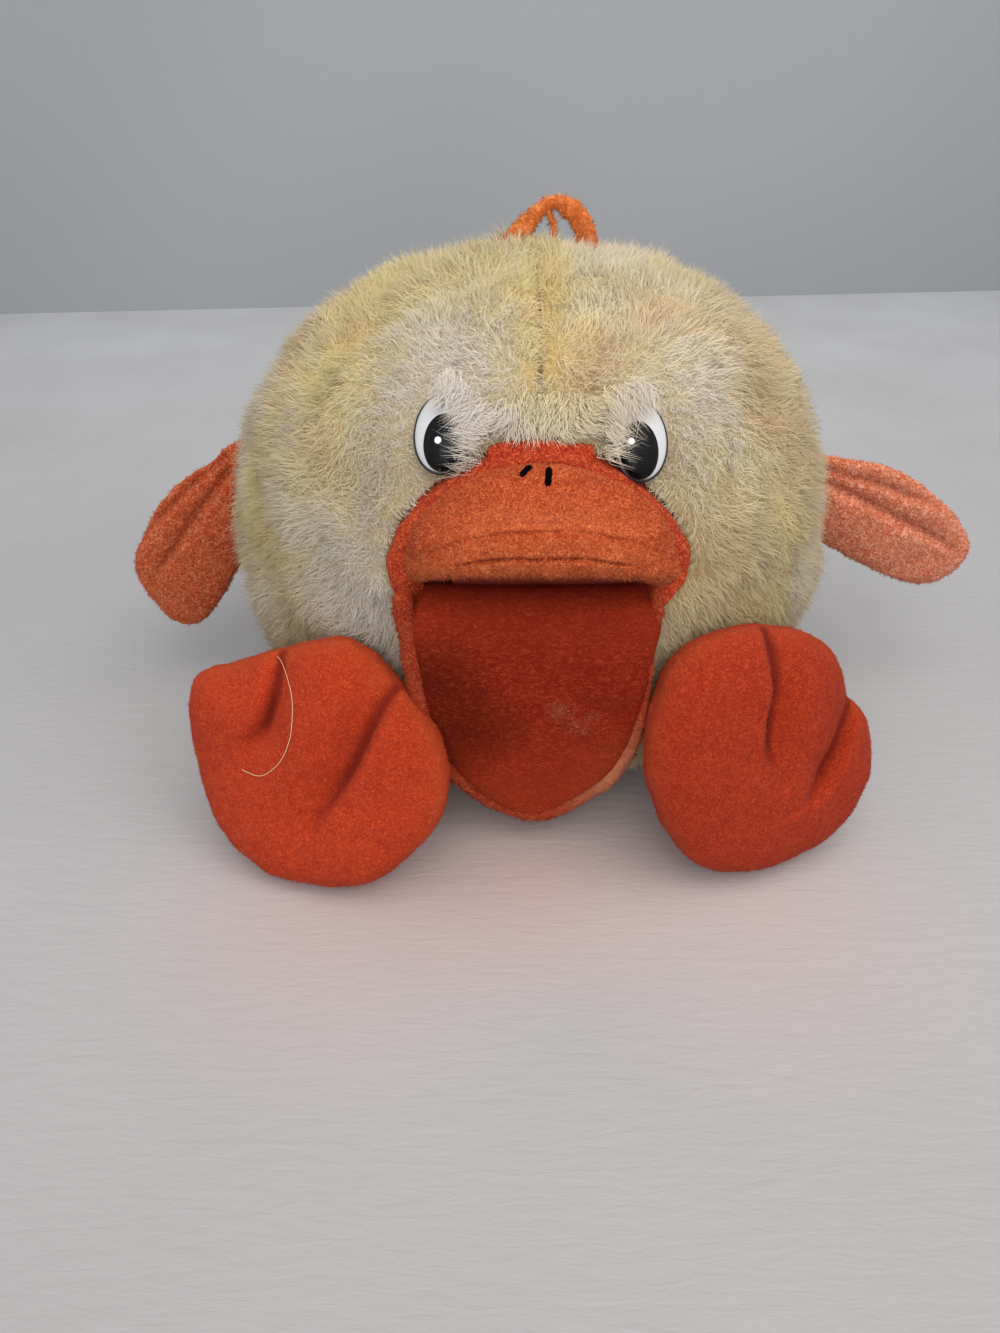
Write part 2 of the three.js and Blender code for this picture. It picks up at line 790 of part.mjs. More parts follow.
function upperBill() {
  const atRoot = boxBetween([-far, -far, -far], [far, billRootY, far]);
  const bill = paddedShape({
    outline: billOutline(),
    middle: billMiddle,
    front: billHeight,
    back: (x, y, share) => billPalateDepth * crown(share),
    wall: billCoverWall,
    detail: 40,
    shares: [0, 0.13, 0.3, 0.5, 0.72, 0.9, 1],
  });
  const outline = smoothOutline(billOutline(), 32);
  const palateOutline = shrunkOutline(outline, billMiddle, lipInset + lipFrontRadius + palateInset);
  const palate = plate(palateOutline, -billPalateDepth, -billPalateDepth + billPalateWall);
  const padFloor = -billPalateDepth + billPalateWall + clothGap;
  const pocket = boxBetween(
    [-fingerPocketHalfWidth, fingerPocketEndY, fingerPocketBottomZ],
    [fingerPocketHalfWidth, far, fingerPocketTopZ],
  );
  const upperPad = bill.filling.intersect(boxBetween([-far, -far, 0], [far, far, far]));
  const pad = upperPad.add(plate(palateOutline, padFloor, 1)).intersect(atRoot);
  const lipRadius = (y) => {
    const along = Math.min(1, Math.max(0, (lipEndY - y) / (lipEndY - billFrontY)));
    return lipEndRadius + along * (lipFrontRadius - lipEndRadius);
  };
  const lipDrop = (y) => lipRadius(y) * Math.hypot(1, billClimbRate) + clothGap;
  const lipPoints = shrunkOutline(smoothOutline(billOutline(), 44), billMiddle, lipInset)
    .filter(([, y]) => y < lipEndY)
    .map(([x, y]) => new THREE.Vector3(x, y, billSeamZ(y) - lipDrop(y)));
  const lip = sweptTube(lipPoints, (point) => lipRadius(point.y), 8);
  return [
    solidMesh("bill_cover", climbed(bill.frontCover.intersect(atRoot)), material("velour", 0.95)),
    solidMesh("bill_pad", climbed(pad).subtract(pocket), material("foam", 1)),
    solidMesh("bill_palate", climbed(palate.intersect(atRoot)), material("mouth", 0.95)),
    solidMesh("bill_lip", lip, material("velour", 0.95)),
  ];
}

function nostrils() {
  return sides.map(([name, side]) => {
    const points = [0, 0.5, 1].map((along) => {
      const x = nostrilMiddleX + side * nostrilHalfGap;
      const y = nostrilFrontY + along * nostrilLength;
      return new THREE.Vector3(x, y, billCrestZ(y) + nostrilRadius + nostrilLift);
    });
    return solidMesh(
      `${name}_nostril_stitch`,
      sweptTube(points, nostrilRadius, 6),
      material("thread", 0.8),
    );
  });
}

// Lower bill: drawn with x across and y downwards from the hinge, then hung up.
const jawLength = jawTopZ - jawTipZ - jawRimRadius;
const jawTopY = ballFrontY(0, mouthBottomZ) - collarReach - clothGap - jawThickness / 2;

function jawOutline(growth) {
  const half = [
    [jawHalfWidth, 0],
    [jawHalfWidth - 0.5, jawLength * 0.2],
    [jawHalfWidth - 2.4, jawLength * 0.42],
    [jawHalfWidth - 5.6, jawLength * 0.62],
    [jawHalfWidth - 10.4, jawLength * 0.76],
    [jawHalfWidth - 16, jawLength * 0.87],
    [jawHalfWidth - 25, jawLength * 0.955],
  ].map(([x, y]) => [x + growth, y]);
  const middle = [0, jawLength / 2];
  const points = [...half, [0, jawLength], ...half.map(([x, y]) => [-x, y]).reverse()];
  return { points, middle };
}

const jawDrape = (x, y) => jawTuck * Math.pow(Math.min(1, Math.max(0, y) / jawLength), 1.8);

function hung(geometry) {
  geometry.applyMatrix4(
    new THREE.Matrix4().makeBasis(
      new THREE.Vector3(1, 0, 0),
      new THREE.Vector3(0, 0, -1),
      new THREE.Vector3(0, 1, 0),
    ),
  );
  geometry.translate(0, jawTopY, jawTopZ);
  return geometry;
}

function lowerBill() {
  const { points, middle } = jawOutline(0);
  const curve = smoothOutline(points, 30).map(([x, y]) => [x, Math.max(0, y)]);
  const half = jawThickness / 2;
  const coreHalf = half - jawCoverWall - clothGap;
  const flat = (outline, low, high) => hung(bent(plateGrid(outline, middle, low, high), jawDrape));
  const inner = shrunkOutline(curve, middle, jawFoamInset);
  const rimReach = jawRimRadius + jawRimClearance;
  const rimPoints = curve
    .map(([x, y]) => {
      const reach = Math.hypot(x, y - middle[1]);
      const share = (reach + rimReach) / reach;
      return [x * share, middle[1] + (y - middle[1]) * share];
    })
    .filter(([, y]) => y > 2 * jawRimRadius);
  rimPoints.sort((a, b) => Math.atan2(a[0], a[1] - middle[1]) - Math.atan2(b[0], b[1] - middle[1]));
  const rim = rimPoints.map(
    ([x, y]) => new THREE.Vector3(x, jawTopY + jawDrape(x, y), jawTopZ - y),
  );
  return [
    solidMesh("jaw_lining", flat(curve, -half, -half + jawCoverWall), material("mouth", 0.95)),
    solidMesh("jaw_foam", flat(inner, -coreHalf, coreHalf), material("foam", 1)),
    solidMesh("jaw_cover", flat(curve, half - jawCoverWall, half), material("velour", 0.95)),
    solidMesh("jaw_rim", sweptTube(rim, jawRimRadius, 8), material("velour", 0.95)),
  ];
}

// A flat plate with rings of points inside it, so that it can be bent.
function plateGrid(outline, middle, low, high) {
  const half = (high - low) / 2;
  const lift = (low + high) / 2;
  const even = () => half;
  const shares = [0, 0.4, 0.75, 1];
  const geometry = toGeometry(pillow(outline, middle, even, even, shares));
  geometry.translate(0, 0, lift);
  return toSolid(geometry);
}

// Wings: outlines in millimetres outward from the sewn edge, and up from the base
const leftWingOutline = [
  [0, 116], [14, 116], [39, 111], [66, 99], [80, 88], [86, 76], [84, 64], [75, 56], [62, 54],
  [44, 59], [24, 71], [9, 80], [0, 86],
];
const leftWingChannels = [
  [[6, 107], [80, 82]],
  [[6, 95], [76, 62]],
];
const rightWingOutline = [
  [0, 118], [12, 118], [31, 108], [53, 91], [65, 76], [69, 62], [66, 48], [58, 36], [48, 31],
  [36, 33], [26, 44], [14, 66], [0, 88],
];
const rightWingChannels = [
  [[6, 108], [63, 50]],
  [[6, 97], [48, 36]],
];
const wingRootX = ballSideX(sideSeamY - wingHalfThickness / 2, ballCentreZ) + wingSeat;

function wing(name, side, outline, channels) {
  const mean = (axis) => outline.reduce((sum, point) => sum + point[axis], 0) / outline.length;
  const middle = [mean(0), mean(1)];
  const rootEdge = Math.min(...smoothOutline(outline, 30).map(([x]) => x));
  const height = (x, y, share) =>
    wingHalfThickness *
    crown(share) *
    creased(x, y, channels, wingChannelDepth, wingChannelWidth);
  const padded = paddedShape({
    outline,
    middle,
    front: height,
    back: height,
    inner: (x, y, share) => wingHalfThickness * (1 - wingChannelDepth) * crown(share),
    wall: wingCoverWall,
    detail: 28,
  });
  const place = (solid) => {
    const geometry = toGeometry(solid);
    geometry.translate(-rootEdge, 0, 0);
    geometry.rotateX(Math.PI / 2);
    if (side < 0) {
      geometry.rotateZ(Math.PI);
    }
    geometry.translate(side * wingRootX, sideSeamY, 0);
    return geometry;
  };
  const [front, back] =
    side > 0
      ? [padded.frontCover, padded.backCover]
      : [padded.backCover, padded.frontCover];
  return [
    solidMesh(`${name}_wing_front_cover`, place(front), material("velour", 0.95)),
    solidMesh(`${name}_wing_back_cover`, place(back), material("velour", 0.95)),
    solidMesh(`${name}_wing_padding`, place(padded.filling), material("filling", 1)),
  ];
}

// Feet: outlines in millimetres outward and up from the middle of the heel
const leftFootOutline = [
  [-13, 103], [12, 104], [38, 98], [51, 84], [55, 69], [65, 54], [64, 28], [50, 10], [26, 3],
  [6, 2.5], [-15, 14], [-30, 43], [-33.5, 63], [-31, 84], [-26, 97],
];
const leftFootCreases = [
  [[12, 106], [9, 66], [16, 42]],
  [[56, 70], [22, 40]],
];
const rightFootOutline = [
  [64, 71], [65, 46], [52, 16], [28, 4], [2, 2.5], [-23, 14], [-36, 42], [-36.5, 60], [-31, 76],
  [-24, 86], [-15, 93.5], [4, 99], [24, 92], [46, 82],
];
const rightFootCreases = [
  [[24, 94], [20, 62]],
  [[-26, 88], [5, 27]],
];

function footFrame(side) {
  const toe = THREE.MathUtils.degToRad(footToeOut);
  const lean = THREE.MathUtils.degToRad(footLean);
  const across = new THREE.Vector3(side * Math.cos(toe), Math.sin(toe), 0);
  const face = new THREE.Vector3(
    side * Math.sin(toe) * Math.cos(lean),
    -Math.cos(toe) * Math.cos(lean),
    Math.sin(lean),
  );
  const upward = new THREE.Vector3(
    -side * Math.sin(toe) * Math.sin(lean),
    Math.cos(toe) * Math.sin(lean),
    Math.cos(lean),
  );
  const frame = new THREE.Matrix4().makeBasis(across, upward, face);
  frame.setPosition(side * footX, footHeelY, 0);
  return frame;
}

function foot(name, side, outline, creases) {
  const middle = [footMiddleX, footMiddleUp];
  const crease = (x, y) => creased(x, y, creases, toeCreaseDepth, toeCreaseWidth);
  const heights = (growth) => ({
    front: (x, y, share) => (footFrontHeight * crease(x, y) + growth) * crown(share),
    back: (x, y, share) => (footBackHeight + growth) * crown(share),
  });
  const padded = paddedShape({
    outline,
    middle,
    ...heights(0),
    inner: (x, y, share) => footFrontHeight * (1 - toeCreaseDepth) * crown(share),
    wall: footCoverWall,
    detail: 34,
  });
  const frame = footFrame(side);
  const place = (solid) => {
    const geometry = toGeometry(solid);
    geometry.applyMatrix4(frame);
    if (side < 0) {
      const index = geometry.index.array;
      for (let i = 0; i < index.length; i += 3) {
        [index[i + 1], index[i + 2]] = [index[i + 2], index[i + 1]];
      }
      geometry.computeVertexNormals();
    }
    return geometry;
  };
  const grown = pillow(
    shrunkOutline(smoothOutline(outline, 34), middle, -clothGap),
    middle,
    heights(clothGap).front,
    heights(clothGap).back,
    padRings,
  );
  const joinPoint = new THREE.Vector3(0, legUpFoot, 0).applyMatrix4(frame);
  const sewnPoint = new THREE.Vector3(side * legX, ballFrontY(legX, legZ), legZ);
  const turnPoint = sewnPoint
    .clone()
    .addScaledVector(ballNormal(...sewnPoint.toArray()), legRadius + legSeat);
  const along = new THREE.Vector3().subVectors(joinPoint, turnPoint).normalize();
  const leg = new THREE.CapsuleGeometry(legRadius, turnPoint.distanceTo(joinPoint), 4, 14);
  const half = turnPoint.distanceTo(joinPoint) / 2;
  leg.translate(0, half, 0);
  leg.applyQuaternion(
    new THREE.Quaternion().setFromUnitVectors(new THREE.Vector3(0, 1, 0), along),
  );
  leg.translate(turnPoint.x, turnPoint.y, turnPoint.z);
  const legSolid = toSolid(leg).subtract(toSolid(place(grown)));
  const pieces = legSolid.decompose().sort((a, b) => b.volume() - a.volume());
  return [
    solidMesh(`${name}_foot_sole`, place(padded.frontCover), material("velour", 0.95)),
    solidMesh(`${name}_foot_instep`, place(padded.backCover), material("velour", 0.95)),
    solidMesh(`${name}_foot_stuffing`, place(padded.filling), material("filling", 1)),
    solidMesh(`${name}_leg`, pieces[0], material("velour", 0.95)),
  ];
}

// Hanging loop: a flat strap with a rolled hem at each end, which rests on the crown
function hangingLoop() {
  const hem = loopHalfWidth;
  const footings = [-1, 1].map((end) => ballTopZ(loopX + end * loopHalfSpan, sideSeamY - hem));
  const hingeZ = Math.max(...footings) + hem + loopSeat;
  const points = [];
  const steps = 14;
  for (let i = 0; i <= steps; i++) {
    const angle = Math.PI * (1 - i / steps);
    points.push(
      new THREE.Vector3(
        loopX + loopHalfSpan * Math.cos(angle),
        sideSeamY,
        hingeZ + (loopRise - hem) * Math.sin(angle),
      ),
    );
  }
  let strap = flatStrap(points, loopHalfWidth, loopHalfThickness);
  for (const end of [-1, 1]) {
    const roll = new THREE.CylinderGeometry(hem, hem, 2 * loopHalfThickness, 12);
    roll.rotateZ(Math.PI / 2);
    roll.translate(loopX + end * loopHalfSpan, sideSeamY, hingeZ);
    strap = strap.add(toSolid(roll));
  }
  return solidMesh("hanging_loop", strap, material("loop", 0.95));
}

// A strap along points in a plane of constant y, wide along Y.
function flatStrap(points, halfWidth, halfThickness) {
  const outer = [];
  const inner = [];
  points.forEach((point, i) => {
    const before = points[Math.max(i - 1, 0)];
    const after = points[Math.min(i + 1, points.length - 1)];
    const along = new THREE.Vector3().subVectors(after, before).normalize();
    outer.push([point.x - along.z * halfThickness, point.z + along.x * halfThickness]);
    inner.push([point.x + along.z * halfThickness, point.z - along.x * halfThickness]);
  });
  return barAlongY([...outer, ...inner.reverse()], sideSeamY - halfWidth, sideSeamY + halfWidth);
}

// Music box: cup and lid, a button under the palm, and the works between them
function ringAround(count, radius, phase = 0) {
  return Array.from({ length: count }, (_, i) => {
    const angle = phase + (i / count) * 2 * Math.PI;
    return [radius * Math.cos(angle), boxY + radius * Math.sin(angle)];
  });
}

function musicBox() {
  const base = boxBaseZ;
  const floor = base + boxWall;
  const split = base + boxCupHeight;
  const ceiling = boxTopZ - boxWall;
  const bosses = ringAround(3, screwCircle, Math.PI / 6);
  const speakerLow = floor + clothGap;
  const speakerTop = speakerLow + speakerDepth;
  const boardLow = speakerTop + magnetDepth + 2 * plasticGap;
  const boardTop = boardLow + boardThickness;
  const cellLow = boardTop + plasticGap;
  const flangeTop = ceiling - plasticGap;
  const flangeLow = flangeTop - buttonFlangeThickness;
  let cup = rod(boxRadius, base, split, 0, boxY).subtract(
    rod(boxRadius - boxWall, floor, split + 1, 0, boxY),
  );
  for (const [x, y] of [[0, boxY], ...ringAround(6, grilleCircle)]) {
    cup = cup.subtract(rod(grilleRadius, base - 1, floor + 1, x, y, 6));
  }
  let lid = rod(boxRadius, split + plasticGap, boxTopZ, 0, boxY).subtract(
    rod(boxRadius - boxWall, split, ceiling, 0, boxY),
  );
  lid = lid.subtract(rod(buttonRadius + plasticGap, ceiling - 1, boxTopZ + 1, 0, boxY));
  for (const [x, y] of bosses) {
    cup = cup.add(rod(bossRadius, floor - 0.5, split, x, y, 8));
    cup = cup.subtract(rod(screwRadius + plasticGap, floor + 1, split + 1, x, y, 8));
    lid = lid.add(rod(bossRadius, split + plasticGap, ceiling + 0.5, x, y, 8));
    lid = lid.subtract(rod(screwRadius + plasticGap, split, boxTopZ + 1, x, y, 8));
    lid = lid.subtract(rod(screwHeadRadius + plasticGap, boxTopZ - 1, boxTopZ + 1, x, y, 8));
  }
  const bossClearance = bossRadius + plasticGap;
  let board = rod(boardRadius, boardLow, boardTop, 0, boxY);
  for (const [x, y] of bosses) {
    board = board.subtract(rod(bossClearance, boardLow - 1, boardTop + 1, x, y, 8));
  }
  const button = rod(buttonRadius, flangeLow, buttonTopZ, 0, boxY).add(
    rod(buttonRadius + buttonFlange, flangeLow, flangeTop, 0, boxY),
  );
  const speaker = rod(speakerRadius, speakerLow, speakerTop, 0, boxY).subtract(
    rod(speakerRadius - boxWall, speakerLow - 1, speakerTop - 1, 0, boxY),
  );
  const cone = rod(speakerRadius - boxWall - plasticGap, speakerLow, speakerTop - 1 - plasticGap, 0, boxY);
  const magnet = rod(magnetRadius, speakerTop + plasticGap, boardLow - plasticGap, 0, boxY, 16);
  const domeLow = boardTop + plasticGap;
  const domeRadius = cellCircle - cellRadius - plasticGap;
  const dome = new THREE.CylinderGeometry(domeRadius * 0.6, domeRadius, flangeLow - domeLow - plasticGap, 12);
  dome.rotateX(Math.PI / 2);
  dome.translate(0, boxY, (flangeLow - plasticGap + domeLow) / 2);
  const pouchLow = base - pouchWall - clothGap;
  const pouch = rod(boxRadius + clothGap + pouchWall, pouchLow, boxTopZ, 0, boxY, 24).subtract(
    rod(boxRadius + clothGap, base - clothGap, boxTopZ + 1, 0, boxY, 24),
  );
  const cells = ringAround(cellCount, cellCircle, -Math.PI / 6).map(([x, y], i) =>
    solidMesh(
      `button_cell_${i + 1}`,
      rod(cellRadius, cellLow, cellLow + cellHeight, x, y, 16),
      material("steel", 0.35, 0.9),
    ),
  );
  const screws = bosses.map(([x, y], i) =>
    solidMesh(
      `box_screw_${i + 1}`,
      rod(screwRadius, floor + 3, boxTopZ - 0.5, x, y, 8).add(
        rod(screwHeadRadius, boxTopZ - 1 + plasticGap, boxTopZ, x, y, 8),
      ),
      material("steel", 0.35, 0.9),
    ),
  );
  return [
    solidMesh("music_box_cup", cup, material("plastic", 0.4)),
    solidMesh("music_box_lid", lid, material("plastic", 0.4)),
    solidMesh("music_button", button, material("button", 0.4)),
    solidMesh("button_dome", toSolid(dome), material("rubber", 0.8)),
    solidMesh("music_board", board, material("board", 0.5)),
    solidMesh("speaker_frame", speaker, material("steel", 0.4, 0.8)),
    solidMesh("speaker_cone", cone, material("thread", 0.8)),
    solidMesh("speaker_magnet", magnet, material("steel", 0.3, 0.9)),
    solidMesh("box_pouch", pouch, material("lining", 0.95)),
    ...cells,
    ...screws,
  ];
}

const duck = new THREE.Group();
duck.add(
  ...furPanels(),
  seatPanel(),
  bodyFill(),
  ...tunnelPieces(),
  mouthCollar(),
  ...eyePieces(),
  ...upperBill(),
  ...nostrils(),
  ...lowerBill(),
  ...wing("left", 1, leftWingOutline, leftWingChannels),
  ...wing("right", -1, rightWingOutline, rightWingChannels),
  ...foot("left", 1, leftFootOutline, leftFootCreases),
  ...foot("right", -1, rightFootOutline, rightFootCreases),
  hangingLoop(),
  ...musicBox(),
);
export default duck;
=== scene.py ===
import itertools
import math
import time

import bpy
import numpy as np
from mathutils import Matrix, Vector, kdtree


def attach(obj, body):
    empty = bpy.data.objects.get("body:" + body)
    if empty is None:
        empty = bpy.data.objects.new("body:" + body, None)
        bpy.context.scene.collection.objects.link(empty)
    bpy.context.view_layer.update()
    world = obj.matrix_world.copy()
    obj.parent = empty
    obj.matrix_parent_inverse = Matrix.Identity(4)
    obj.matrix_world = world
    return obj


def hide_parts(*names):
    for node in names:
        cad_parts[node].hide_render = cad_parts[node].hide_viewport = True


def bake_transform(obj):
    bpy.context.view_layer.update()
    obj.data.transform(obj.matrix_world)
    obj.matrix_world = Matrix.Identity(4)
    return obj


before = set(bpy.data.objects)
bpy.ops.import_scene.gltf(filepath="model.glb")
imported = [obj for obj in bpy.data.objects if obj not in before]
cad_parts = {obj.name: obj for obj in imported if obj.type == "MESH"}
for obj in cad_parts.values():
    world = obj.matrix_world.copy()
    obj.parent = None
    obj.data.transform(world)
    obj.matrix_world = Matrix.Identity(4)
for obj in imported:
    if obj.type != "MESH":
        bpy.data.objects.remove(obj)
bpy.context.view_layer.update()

mm = 0.001
scene = bpy.context.scene
sides = (("left", 1), ("right", -1))
started = time.time()


def done(stage):
    print(stage, f"after {time.time() - started:.0f} s")


# Camera
camera = {
    "place": (-0.0131, -0.3750, 0.2975),
    "tilt": 53.54,  # degrees up from looking straight down
    "lens": 27,
}


def addCamera(values):
    data = bpy.data.cameras.new("camera")
    data.lens = values["lens"]
    data.sensor_width = 36
    obj = bpy.data.objects.new("camera", data)
    scene.collection.objects.link(obj)
    obj.location = values["place"]
    obj.rotation_euler = (math.radians(values["tilt"]), 0, 0)
    scene.camera = obj


addCamera(camera)


# Small tools
def clearSelection():
    bpy.ops.object.select_all(action="DESELECT")


def activate(obj):
    clearSelection()
    obj.select_set(True)
    bpy.context.view_layer.objects.active = obj


def applyModifier(obj, kind, **settings):
    activate(obj)
    modifier = obj.modifiers.new(kind.title(), kind)
    for key, value in settings.items():
        setattr(modifier, key, value)
    bpy.ops.object.modifier_apply(modifier=modifier.name)


def getPlaces(obj):
    found = np.empty(len(obj.data.vertices) * 3)
    obj.data.vertices.foreach_get("co", found)
    return found.reshape(-1, 3)


def setPlaces(obj, places):
    obj.data.vertices.foreach_set("co", np.ascontiguousarray(places, dtype=np.float32).ravel())
    obj.data.update()


def getNormals(obj):
    found = np.empty(len(obj.data.vertices) * 3)
    obj.data.vertices.foreach_get("normal", found)
    return found.reshape(-1, 3)


def setAttribute(obj, name, values):
    attribute = obj.data.attributes.new(name, "FLOAT", "POINT")
    attribute.data.foreach_set("value", np.ascontiguousarray(values, dtype=np.float32))


def noiseVectorAt(places, size, seed=0):  # smooth in space, each part from -1 to 1
    table = np.random.default_rng(seed + 100).uniform(-1, 1, (4096, 3))
    spot = np.asarray(places) / size + seed * 7.31
    cell = np.floor(spot).astype(np.int64)
    part = spot - cell
    part = part * part * (3 - 2 * part)
    total = np.zeros((len(spot), 3))
    for corner in itertools.product((0, 1), repeat=3):
        key = cell + corner
        index = (key[:, 0] * 73856093 ^ key[:, 1] * 19349663 ^ key[:, 2] * 83492791) & 4095
        weight = np.where(corner, part, 1 - part).prod(axis=1)
        total += table[index] * weight[:, None]
    return total


def noiseAt(places, size, seed=0, octaves=2):
    total = 0
    for k in range(octaves):
        total = total + noiseVectorAt(places, size / 2.1**k, seed + k)[:, 0] * 0.6**k
    return total


def unit(vectors):
    return vectors / np.maximum(np.linalg.norm(vectors, axis=-1, keepdims=True), 1e-12)


def meshObject(name, places, faces):
    mesh = bpy.data.meshes.new(name)
    mesh.from_pydata([tuple(p) for p in places], [], faces)
    obj = bpy.data.objects.new(name, mesh)
    scene.collection.objects.link(obj)
    return obj


def cleanUp(obj, gap=1e-6):
    activate(obj)
    bpy.ops.object.mode_set(mode="EDIT")
    bpy.ops.mesh.select_all(action="SELECT")
    bpy.ops.mesh.remove_doubles(threshold=gap)
    bpy.ops.mesh.normals_make_consistent(inside=False)
    bpy.ops.object.mode_set(mode="OBJECT")


def shadeSmooth(obj, angle=180):
    activate(obj)
    if angle >= 180:
        bpy.ops.object.shade_smooth()
    else:
        bpy.ops.object.shade_smooth_by_angle(angle=math.radians(angle))


def cadCopy(node, name):  # a merged copy of a CAD node, to start a soft piece from
    obj = bpy.data.objects.new(name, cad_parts[node].data.copy())
    scene.collection.objects.link(obj)
    obj.data.materials.clear()
    cleanUp(obj)
    return obj


def softCopy(node, name, voxel, rounds=4, kept=1):
    obj = cadCopy(node, name)
    applyModifier(obj, "REMESH", mode="VOXEL", voxel_size=voxel)
    applyModifier(obj, "SMOOTH", factor=0.5, iterations=rounds)
    if kept < 1:
        applyModifier(obj, "DECIMATE", ratio=kept)
    return obj


def roughen(obj, size, seed, amount, octaves=3):  # low lumps all over a piece
    places = getPlaces(obj)
    lumps = noiseAt(places, size, seed, octaves) * amount
    setPlaces(obj, places + getNormals(obj) * lumps[:, None])


def place(obj, body, paint, nodes=(), angle=180):
    if angle is not None:
        shadeSmooth(obj, angle)
    obj.data.materials.clear()
    obj.data.materials.append(paint)
    if body is not None:
        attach(obj, body)
    if nodes:
        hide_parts(*nodes)
    return obj


# Shader maths
class Wire:
    def __init__(self, paint, socket):
        self.paint = paint
        self.socket = socket

    def mathNode(self, operation, first, second):
        return self.paint.node("ShaderNodeMath", {"operation": operation}, {0: first, 1: second})

    def __add__(self, other):
        return self.mathNode("ADD", self, other)

    __radd__ = __add__

    def __mul__(self, other):
        return self.mathNode("MULTIPLY", self, other)

    __rmul__ = __mul__

    def __sub__(self, other):
        return self.mathNode("SUBTRACT", self, other)

    def __rsub__(self, other):
        return self.mathNode("SUBTRACT", other, self)


class Paint:
    def __init__(self, name, **fixed):
        self.material = bpy.data.materials.new(name)
        self.material.use_nodes = True
        self.tree = self.material.node_tree
        self.shader = self.tree.nodes["Principled BSDF"]
        for key, value in fixed.items():
            self.shader.inputs[key.replace("_", " ")].default_value = value
        self.coordinates = self.node("ShaderNodeTexCoord", {}, {}, "Object")

    def node(self, kind, settings, inputs, output=0):
        made = self.tree.nodes.new(kind)
        for key, value in settings.items():
            if key == "stops":
                self.setStops(made.color_ramp, value)
            else:
                setattr(made, key, value)
        for key, value in inputs.items():
            self.join(made.inputs[key], value)
        return Wire(self, made.outputs[output])

    def setStops(self, ramp, stops):
        while len(ramp.elements) < len(stops):
            ramp.elements.new(1)
        for element, (position, colour) in zip(ramp.elements, stops):
            element.position = position
            element.color = (*colour, 1)

    def join(self, socket, value):
        if isinstance(value, Wire):
            self.tree.links.new(value.socket, socket)
        else:
            socket.default_value = value

    def noise(self, size, detail=2.0, rough=0.5, distortion=0.0, vector=None):
        return self.node(
            "ShaderNodeTexNoise",
            {},
            {
                "Vector": vector or self.coordinates,
                "Scale": 1 / size,
                "Detail": detail,
                "Roughness": rough,
                "Distortion": distortion,
            },
        )

    def stretched(self, scale, shift=(0, 0, 0)):
        return self.node(
            "ShaderNodeMapping",
            {},
            {"Vector": self.coordinates, "Scale": scale, "Location": shift},
        )

    def axis(self, letter):
        return self.node("ShaderNodeSeparateXYZ", {}, {0: self.coordinates}, letter)

    def attribute(self, name):
        return self.node("ShaderNodeAttribute", {"attribute_name": name}, {}, "Fac")

    def between(self, value, low, high, toLow=0.0, toHigh=1.0):
        return self.node(
            "ShaderNodeMapRange",
            {"clamp": True},
            {0: value, 1: low, 2: high, 3: toLow, 4: toHigh},
        )

    def mix(self, share, first, second, blend="MIX"):
        return self.node(
            "ShaderNodeMix",
            {"data_type": "RGBA", "blend_type": blend},
            {0: share, 6: first, 7: second},
            2,
        )

    def near(self, point, radius, softness):  # 1 inside a ball round a point
        apart = self.node(
            "ShaderNodeVectorMath",
            {"operation": "DISTANCE"},
            {0: self.coordinates, 1: point},
            "Value",
        )
        return self.between(apart, radius - softness, radius + softness, 1.0, 0.0)

    def finish(self, colour=None, roughness=None, height=None, depth=0.0005, strength=1.0):
        if colour is not None:
            self.join(self.shader.inputs["Base Color"], colour)
        if roughness is not None:
            self.join(self.shader.inputs["Roughness"], roughness)
        if height is not None:
            bump = self.node(
                "ShaderNodeBump", {}, {"Strength": strength, "Distance": depth, "Height": height}
            )
            self.join(self.shader.inputs["Normal"], bump)
        return self.material


def tone(red, green, blue):  # a colour as it looks on the screen
    def linear(value):
        return value / 12.92 if value <= 0.04045 else ((value + 0.055) / 1.055) ** 2.4

    return (linear(red), linear(green), linear(blue), 1)


# Finishes
furLook = {
    "cream": (0.865, 0.808, 0.705),
    "white": (0.850, 0.810, 0.770),
    "yellow": (0.885, 0.800, 0.575),
    "tan": (0.825, 0.725, 0.580),
    "tips": (1, 0.99, 0.95),
    # painted shade: the pile darker at its roots, deep among the fibres
    "roots": (0.98, 0.965, 0.91),
    # painted shade on the backing, seen deep between the fibres
    "backing": (0.93, 0.89, 0.78),
    "roughness": 0.9,
    "spots": (  # paler and darker places: middle, radius and tone
        ((-0.034, -0.075, 0.186), 0.036, "white"),
        ((-0.058, -0.088, 0.115), 0.030, "white"),
        ((0.052, -0.070, 0.186), 0.026, "white"),
        ((0.066, -0.084, 0.120), 0.028, "tan"),
        ((-0.070, -0.085, 0.060), 0.022, "white"),
        ((0.070, -0.080, 0.058), 0.036, "tan"),
    ),
}


